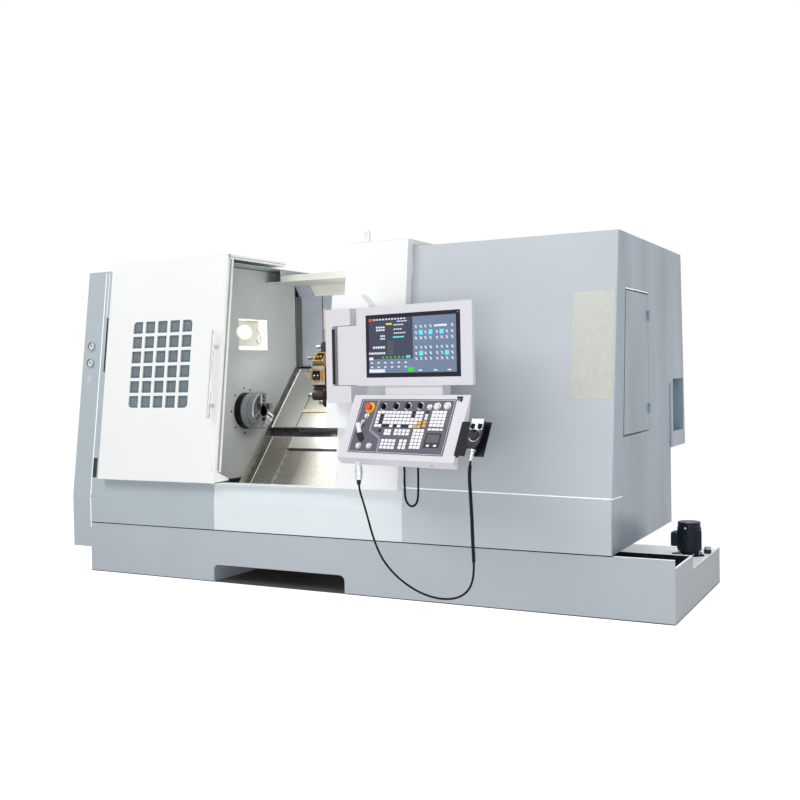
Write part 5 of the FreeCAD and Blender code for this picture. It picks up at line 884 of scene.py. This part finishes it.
# ---------------------------------------------------------------- control pendant
# Monitor and control box are cases of painted steel sheet that hang from the bracket's arm.  The sloping
# panel carries a printed overlay with key caps and knobs, and a black plate beside it the plastic handset.
surface("lilac_paint", (217, 216, 222), 0.4, 0.015, 3, grain=380, bump=0.03)
finish("lilac_paint", "arm_bracket", "monitor_case", "control_box")
surface("black_plastic", (18, 19, 24), 0.4, 0.1, 30, grain=900, bump=0.08, specular=0.25)
surface("handset_grey", (40, 40, 47), 0.42, 0.1, 26, grain=900, bump=0.08, specular=0.3)
finish("black_steel", "mpg_shelf")
finish("handset_grey", "mpg_handset")
finish("black_plastic", "mpg_dial", "mpg_knob_1", "mpg_knob_2", "override_knob_1", "override_knob_2",
       "override_knob_3", "override_knob_4")
surface("button_white", (222, 222, 224), 0.35, 0.03, 60, grain=900)
finish("button_white", *["push_button_%d" % i for i in range(1, 7)])
surface("stop_red", (226, 66, 34), 0.35, 0.08, 40, grain=900)
finish("stop_red", "e_stop")
finish("zinc", "key_switch")
surface("screen_black", (24, 25, 30), 0.22, 0.1, 9, grain=200, bump=0.01, coat=0.3)
finish("screen_black", "monitor_screen")
# Screen: black frame, blue panels and plain generic marks, worked out on a 0 to 1 field from the top left.
SCREEN = within(PENDANT, (0, 0, 0), (1, 0, 0), (0, 0, 1), (0, -1, 0))
surface("screen_blue", (104, 120, 146), 0.25, 0.1, 4, glow=0.12)
surface("screen_panel", (50, 54, 74), 0.25, 0.12, 6, glow=0.1)
surface("mark_white", (216, 224, 236), 0.3, 0.04, 50, glow=0.15)
surface("mark_cyan", (90, 214, 226), 0.3, 0.04, 50, glow=0.2)
surface("mark_green", (40, 196, 60), 0.3, 0.06, 50, glow=0.2)
surface("mark_red", (214, 52, 52), 0.3, 0.06, 50, glow=0.2)
surface("mark_yellow", (226, 200, 50), 0.3, 0.06, 50, glow=0.2)
surface("mark_dark", (70, 78, 80), 0.3, 0.06, 50)
ACTIVE_X0, ACTIVE_X1, ACTIVE_Z0, ACTIVE_Z1 = 91, 690, 1274, 1567
ACTIVE_WIDE, ACTIVE_HIGH = ACTIVE_X1 - ACTIVE_X0, ACTIVE_Z1 - ACTIVE_Z0


def mark(u0, u1, v0, v1, material, height=0.45):
    """Flat mark on the screen between two shares across and two shares down."""
    return slab(SCREEN, ACTIVE_X0 + u0 * ACTIVE_WIDE, ACTIVE_X0 + u1 * ACTIVE_WIDE,
                ACTIVE_Z1 - v1 * ACTIVE_HIGH, ACTIVE_Z1 - v0 * ACTIVE_HIGH, 0.1, height, material)


def mark_row(u0, u1, v0, v1, count, share, material):
    """Row of equal marks, each filling this share of its step."""
    step = (u1 - u0) / count
    return [mark(u0 + i * step, u0 + (i + share) * step, v0, v1, material) for i in range(count)]


marks = [mark(0, 1, 0, 1, 0, 0.25), mark(0, 0.52, 0, 0.745, 1, 0.35)]
marks += [mark(*row) for row in (
    (0, 0.05, 0, 0.05, 5), (0.21, 0.28, 0.095, 0.125, 6), (0.29, 0.42, 0.34, 0.365, 3),
    (0.455, 0.53, 0.905, 0.98, 4), (0, 0.19, 0.93, 0.99, 2), (0.76, 0.9, 0.165, 0.2, 2),
    (0.225, 0.29, 0.42, 0.68, 7), (0, 0.05, 0.71, 0.76, 2), (0.44, 0.49, 0.69, 0.73, 3))]
marks += mark_row(0.06, 0.45, 0.01, 0.035, 11, 0.62, 2)
marks += mark_row(0.16, 0.44, 0.7, 0.73, 6, 0.4, 4)
for v0, v1, u0, u1, count in (
        (0.15, 0.18, 0.09, 0.2, 4), (0.2, 0.23, 0.09, 0.2, 4), (0.31, 0.34, 0.14, 0.2, 3),
        (0.36, 0.39, 0.14, 0.2, 3), (0.51, 0.55, 0.05, 0.2, 5), (0.62, 0.655, 0, 0.2, 8),
        (0.12, 0.14, 0.3, 0.42, 6), (0.2, 0.22, 0.3, 0.4, 4), (0.27, 0.29, 0.3, 0.44, 6),
        (0.06, 0.08, 0.34, 0.46, 5)):
    marks += mark_row(u0, u1, v0, v1, count, 0.74, 2)
for v in (0.8, 0.88):
    marks += mark_row(0.02, 0.5, v, v + 0.025, 6, 0.34, 2)
for v in (0.185, 0.29, 0.39, 0.555, 0.66, 0.755):
    for u in (0.556, 0.612, 0.663, 0.72, 0.79, 0.842, 0.898, 0.956):
        if (u, v) in ((0.612, 0.29), (0.72, 0.29), (0.842, 0.29), (0.612, 0.66), (0.898, 0.66)):
            marks.append(mark(u - 0.022, u + 0.022, v - 0.04, v + 0.04, 3))
        elif v != 0.185 or not 0.74 < u < 0.92:
            marks.append(mark(u - 0.012, u + 0.008, v - 0.022, v - 0.004, 2))
            marks.append(mark(u - 0.006, u + 0.013, v + 0.004, v + 0.022, 2))
marks += [mark(u - 0.02, u + 0.02, 0.95, 0.972, 2) for u in (0.6, 0.77, 0.92)]
piece("screen_marks", "pendant", [
    "screen_blue", "screen_panel", "mark_white", "mark_cyan", "mark_green", "mark_red", "mark_yellow",
    "mark_dark"], marks, smooth=False)
SCREEN_X0, SCREEN_X1, SCREEN_Z0, SCREEN_Z1 = 69, 716, 1250, 1588
surface("screen_frame", (16, 13, 34), 0.25, 0.1, 20, specular=0.3)
piece("screen_frame", "pendant", ["screen_frame", "mark_cyan"], slabs(SCREEN, [
    (SCREEN_X0 + 1, SCREEN_X1 - 1, SCREEN_Z0 + 1, ACTIVE_Z0, 0.1, 1.4),
    (SCREEN_X0 + 1, SCREEN_X1 - 1, ACTIVE_Z1, SCREEN_Z1 - 1, 0.1, 1.4),
    (SCREEN_X0 + 1, ACTIVE_X0, ACTIVE_Z0, ACTIVE_Z1, 0.1, 1.4),
    (ACTIVE_X1, SCREEN_X1 - 1, ACTIVE_Z0, ACTIVE_Z1, 0.1, 1.4)])
    + [lathe(SCREEN, SCREEN_X1 - 14, SCREEN_Z1 - 12, [(3, 1.4), (3, 1.7)], 1, 20)], bevel=0.3)
# Operating overlay: dark sheet with a white border line, key caps in blocks, dark and yellow keys.
surface("overlay_grey", (96, 90, 106), 0.42, 0.03, 8, grain=700, bump=0.03, specular=0.3)
finish("overlay_grey", "keypad")
surface("key_white", (250, 250, 252), 0.35, 0.03, 40, grain=900)
surface("key_dark", (30, 28, 38), 0.4, 0.1, 40, grain=900, specular=0.2)
surface("key_yellow", (236, 178, 40), 0.38, 0.06, 40, grain=900)
KEY_BASE, KEY_TOP = 1.5, 3.7


def key_cap(s, t, width=20.6, depth=15, material=0):
    """Key cap centred at (s, t) on the operating face."""
    return slab(FACE, s - width / 2, s + width / 2, t - depth / 2, t + depth / 2, KEY_BASE, KEY_TOP, material)


def key_block(s, t, columns, rows, step_s, step_t, depth=15):
    """Block of equal key caps from its first key on, column by column."""
    return [key_cap(s + step_s * i, t + step_t * j, depth=depth) for i in range(columns) for j in range(rows)]


dark_spots = {(1, 1), (1, 2), (1, 3), (2, 4), (3, 4), (5, 4), (7, 4), (8, 4), (9, 0), (9, 1)}
yellow_spots = {(11, 3), (11, 4), (10, 4)}
keys = [key_cap(217 + 26.6 * i, 100 + 19 * j, 22.6, 14.6,
                ((i, j) in dark_spots) + 2 * ((i, j) in yellow_spots)) for i in range(12) for j in range(5)]
keys += [key_cap(545, t, 17, 14, material) for t, material in ((97, 1), (114.5, 0), (131.5, 0))]
keys += [key_cap(545, t, 20, 14, 2) for t in (152, 171)]
keys += key_block(588, 96, 4, 5, 24.2, 18) + key_block(294, 258, 4, 3, 26, 19)
keys += key_block(367, 201, 4, 2, 27.3, 18) + key_block(494, 198, 3, 6, 25, 18.3)
keys.append(key_cap(254, 203, material=1))
keys += [key_cap(s, t) for t in (203, 220) for s in (299, 323)]
keys += key_block(420, 257, 2, 3, 28, 18.5) + key_block(587, 190, 4, 1, 25, 0, 11)
piece("key_caps", "pendant", ["key_white", "key_dark", "key_yellow"], keys, bevel=0.5)
surface("line_white", (214, 212, 222), 0.4, 0.03, 40)
lines = [band(FACE, [(74, 30), (703, 30), (703, 324), (70, 324), (74, 31)], 2.4, 1.45, 1.75),
         band(FACE, [(186, 33), (180, 205), (262, 248), (271, 321)], 2.4, 1.45, 1.75),
         band(FACE, [(193, 33), (187, 200), (269, 243), (278, 321)], 1.6, 1.45, 1.75)]
KNOB_SPOTS = ((237, 69), (324, 67), (405, 66), (488, 63))
lines += [slab(spun(FACE, s, t, 30 * k - 150), 18.5, 24, -1.5, 1.5, 1.45, 1.8)
          for s, t in KNOB_SPOTS for k in range(11)]
piece("overlay_lines", "pendant", ["line_white"], lines, smooth=False)
surface("pad_black", (34, 32, 44), 0.3, 0.1, 20, specular=0.3)
piece("overlay_pad", "pendant", ["pad_black", "key_white", "mark_dark"], slabs(FACE, [
    (574, 673, 210, 289, 1.5, 2.6), (584, 663, 217, 262, 2.6, 2.9, 2), (594, 612, 273, 283, 2.6, 4, 1),
    (640, 658, 272, 282, 2.6, 4, 1)]), bevel=0.4)
surface("stop_yellow", (238, 190, 30), 0.38, 0.06, 40, grain=900)
STOP_S, STOP_T = 142, 75
piece("control_collars", "pendant", ["stop_yellow", "zinc", "black_plastic"], [
    ring(FACE, STOP_S, STOP_T, [(11.4, 1.6), (31, 1.6), (31, 4.2), (27, 5.6), (11.4, 5.6)], 0, 56)]
    + [ring(FACE, s, t, [(r + 0.8, 1.6), (r + 4.5, 1.6), (r + 4.2, 4.6), (r + 0.8, 5.2)], 1, 40)
       for s, t, r in ((551, 69, 11), (599, 65, 17), (664, 62, 17), (135, 123, 11), (134, 294, 13),
                       (209, 292, 13))]
    + [hoop(FACE, s, t, 17.2, 20.8, 1.52, 2.8, 1) for s, t in KNOB_SPOTS])
piece("stop_cap", "stop_button", ["stop_red", "line_white"], [
    lathe(FACE, STOP_S, STOP_T, [(15.6, 21.2), (13, 22.8), (6, 23.6), (2, 23.7)], 0, 40)]
    + [slab(spun(FACE, STOP_S, STOP_T, 120 * k), 6, 12, -1, 1, 23.2, 23.9, 1) for k in range(3)])
surface("tag_white", (232, 232, 234), 0.5, 0.03, 60)
piece("key_tag", "pendant", ["tag_white", "black_plastic"], [
    plate(FACE, [(66, 166), (92, 158), (128, 214), (104, 226)], 2.2, 3.4),
    plate(FACE, [(94, 224), (134, 216), (158, 250), (152, 268), (128, 266)], 3.6, 8, 1)], bevel=0.6)
piece("corner_clip", "pendant", ["black_plastic"], [
    slab(FACE, 712, 746, 10, 19, 0.2, 5), slab(FACE, 735, 746, 19, 37, 0.2, 5),
    lathe(FACE, 722, 27, [(5.5, 0.2), (5.5, 5), (4, 6)], 0, 24)], bevel=0.6)
LOWER_BAND = within(PENDANT, (0, -171.1, 828.3), (1, 0, 0), (0, -0.656, 0.755), (0, -0.755, -0.656))
piece("lower_band_screws", "pendant", ["black_plastic"], [
    screw(LOWER_BAND, x, -27, 0.1, 3.6) for x in (125, 642)])
# Connector under the panel, the handset's pale face, the arc below its wheel and the cable's bright gland.
PLUG = within(PENDANT, (137, -150, 0), (1, 0, 0), (0, 1, 0), (0, 0, 1))
surface("bright_plug", (206, 206, 210), 0.28, 0.08, 60, metal=0.8)
piece("plug_shell", "pendant", ["bright_plug", "black_plastic"], [
    hoop(PLUG, 0, 0, 17, 18.8, 714, 736), hoop(PLUG, 0, 0, 20, 21.9, 738.5, 763, sides=12),
    hoop(PLUG, 0, 0, 17, 18.6, 766, 786),
    ring(PLUG, 0, 0, [(5.8, 684), (9, 684), (12.5, 706), (12.5, 713.5), (5.8, 713.5)], 1, 32)])
# The handset's tapering shell, its gland and the bright ferrule of its cable.
HANDSET_T0, HANDSET_T1, HANDSET_BASE, HANDSET_TOP = 140, 298, 12, 50


def handset_outline(inset, corner):
    """Rounded outline of the handset at a distance inside its widest line, narrower at the foot."""
    s0, s1, t0, t1 = 871 + inset, 957 - inset, HANDSET_T0 + 1 + inset, HANDSET_T1 - 1 - inset
    foot = 8
    return [(s0 + corner, t0), (s1 - corner, t0), (s1, t0 + corner), (s1 - 1, t0 + 90),
            (s1 - foot, t1 - 2 * corner), (s1 - foot - corner, t1), (s0 + foot + corner, t1),
            (s0 + foot, t1 - 2 * corner), (s0 + 1, t0 + 90), (s0, t0 + corner)]


GLAND = within(FACE, (914, 0, 30), (1, 0, 0), (0, 0, 1), (0, 1, 0))
shell = piece("handset_shell", "pendant", ["handset_grey", "black_plastic"], [
    loft(FACE, [(handset_outline(21, 10), HANDSET_BASE + 0.2), (handset_outline(17, 12), 22),
                (handset_outline(3, 13), 42), (handset_outline(0, 13), 46),
                (handset_outline(1.2, 13), 49), (handset_outline(3.4, 12), HANDSET_TOP)]),
    lathe(GLAND, 0, 0, [(10, 290), (12, 292), (12, 299), (8.6, 304)], 1, 24)], bevel=0.8)
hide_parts("mpg_handset")
HANDSET = FACE @ Matrix.Translation((0, 0, HANDSET_TOP))
surface("handset_face", (200, 202, 208), 0.32, 0.05, 40, metal=0.3)
WHEEL_S, WHEEL_T, ARC_RADIUS = 914, 232, 31.5
wheel_arc = on_circle(WHEEL_S, WHEEL_T, ARC_RADIUS, range(20, 161, 10))
piece("handset_trim", "pendant", [
    "handset_face", "line_white", "black_plastic", "bright_plug"], slabs(HANDSET, [
        (877, 951, 146, 173, 0.1, 1.2), (877, 951, 199, 203, 0.1, 1.2), (877, 879.5, 173, 199, 0.1, 1.2),
        (904.5, 922.5, 173, 199, 0.1, 1.2), (947.5, 951, 173, 199, 0.1, 1.2)])
    + [hoop(HANDSET, s, 186, 12.2, 13.6, 0.1, 1.6, 2, 32) for s in (892, 935)]
    + [band(HANDSET, wheel_arc, 3.2, 0.1, 0.7, 1),
       hoop(HANDSET, WHEEL_S, WHEEL_T, 28.2, 29.4, 0.1, 0.8, 3, 48)])
piece("cable_gland", "pendant", ["bright_plug"], [
    hoop(GLAND, 0, 0, 12.1, 14.6, 299.5, 308, sides=12),
    ring(GLAND, 0, 0, [(5.7, 308), (9.4, 309), (9.4, 332), (7.4, 342), (7.4, 356), (5.7, 357)], 0, 24)])
# Deep shadow slot between the arm's spine and the monitor's block.
piece("arm_slot", "pendant", ["black_plastic"], [
    slab(SCREEN, -190, -168, 1216, 1524, -0.5, 0.6)])
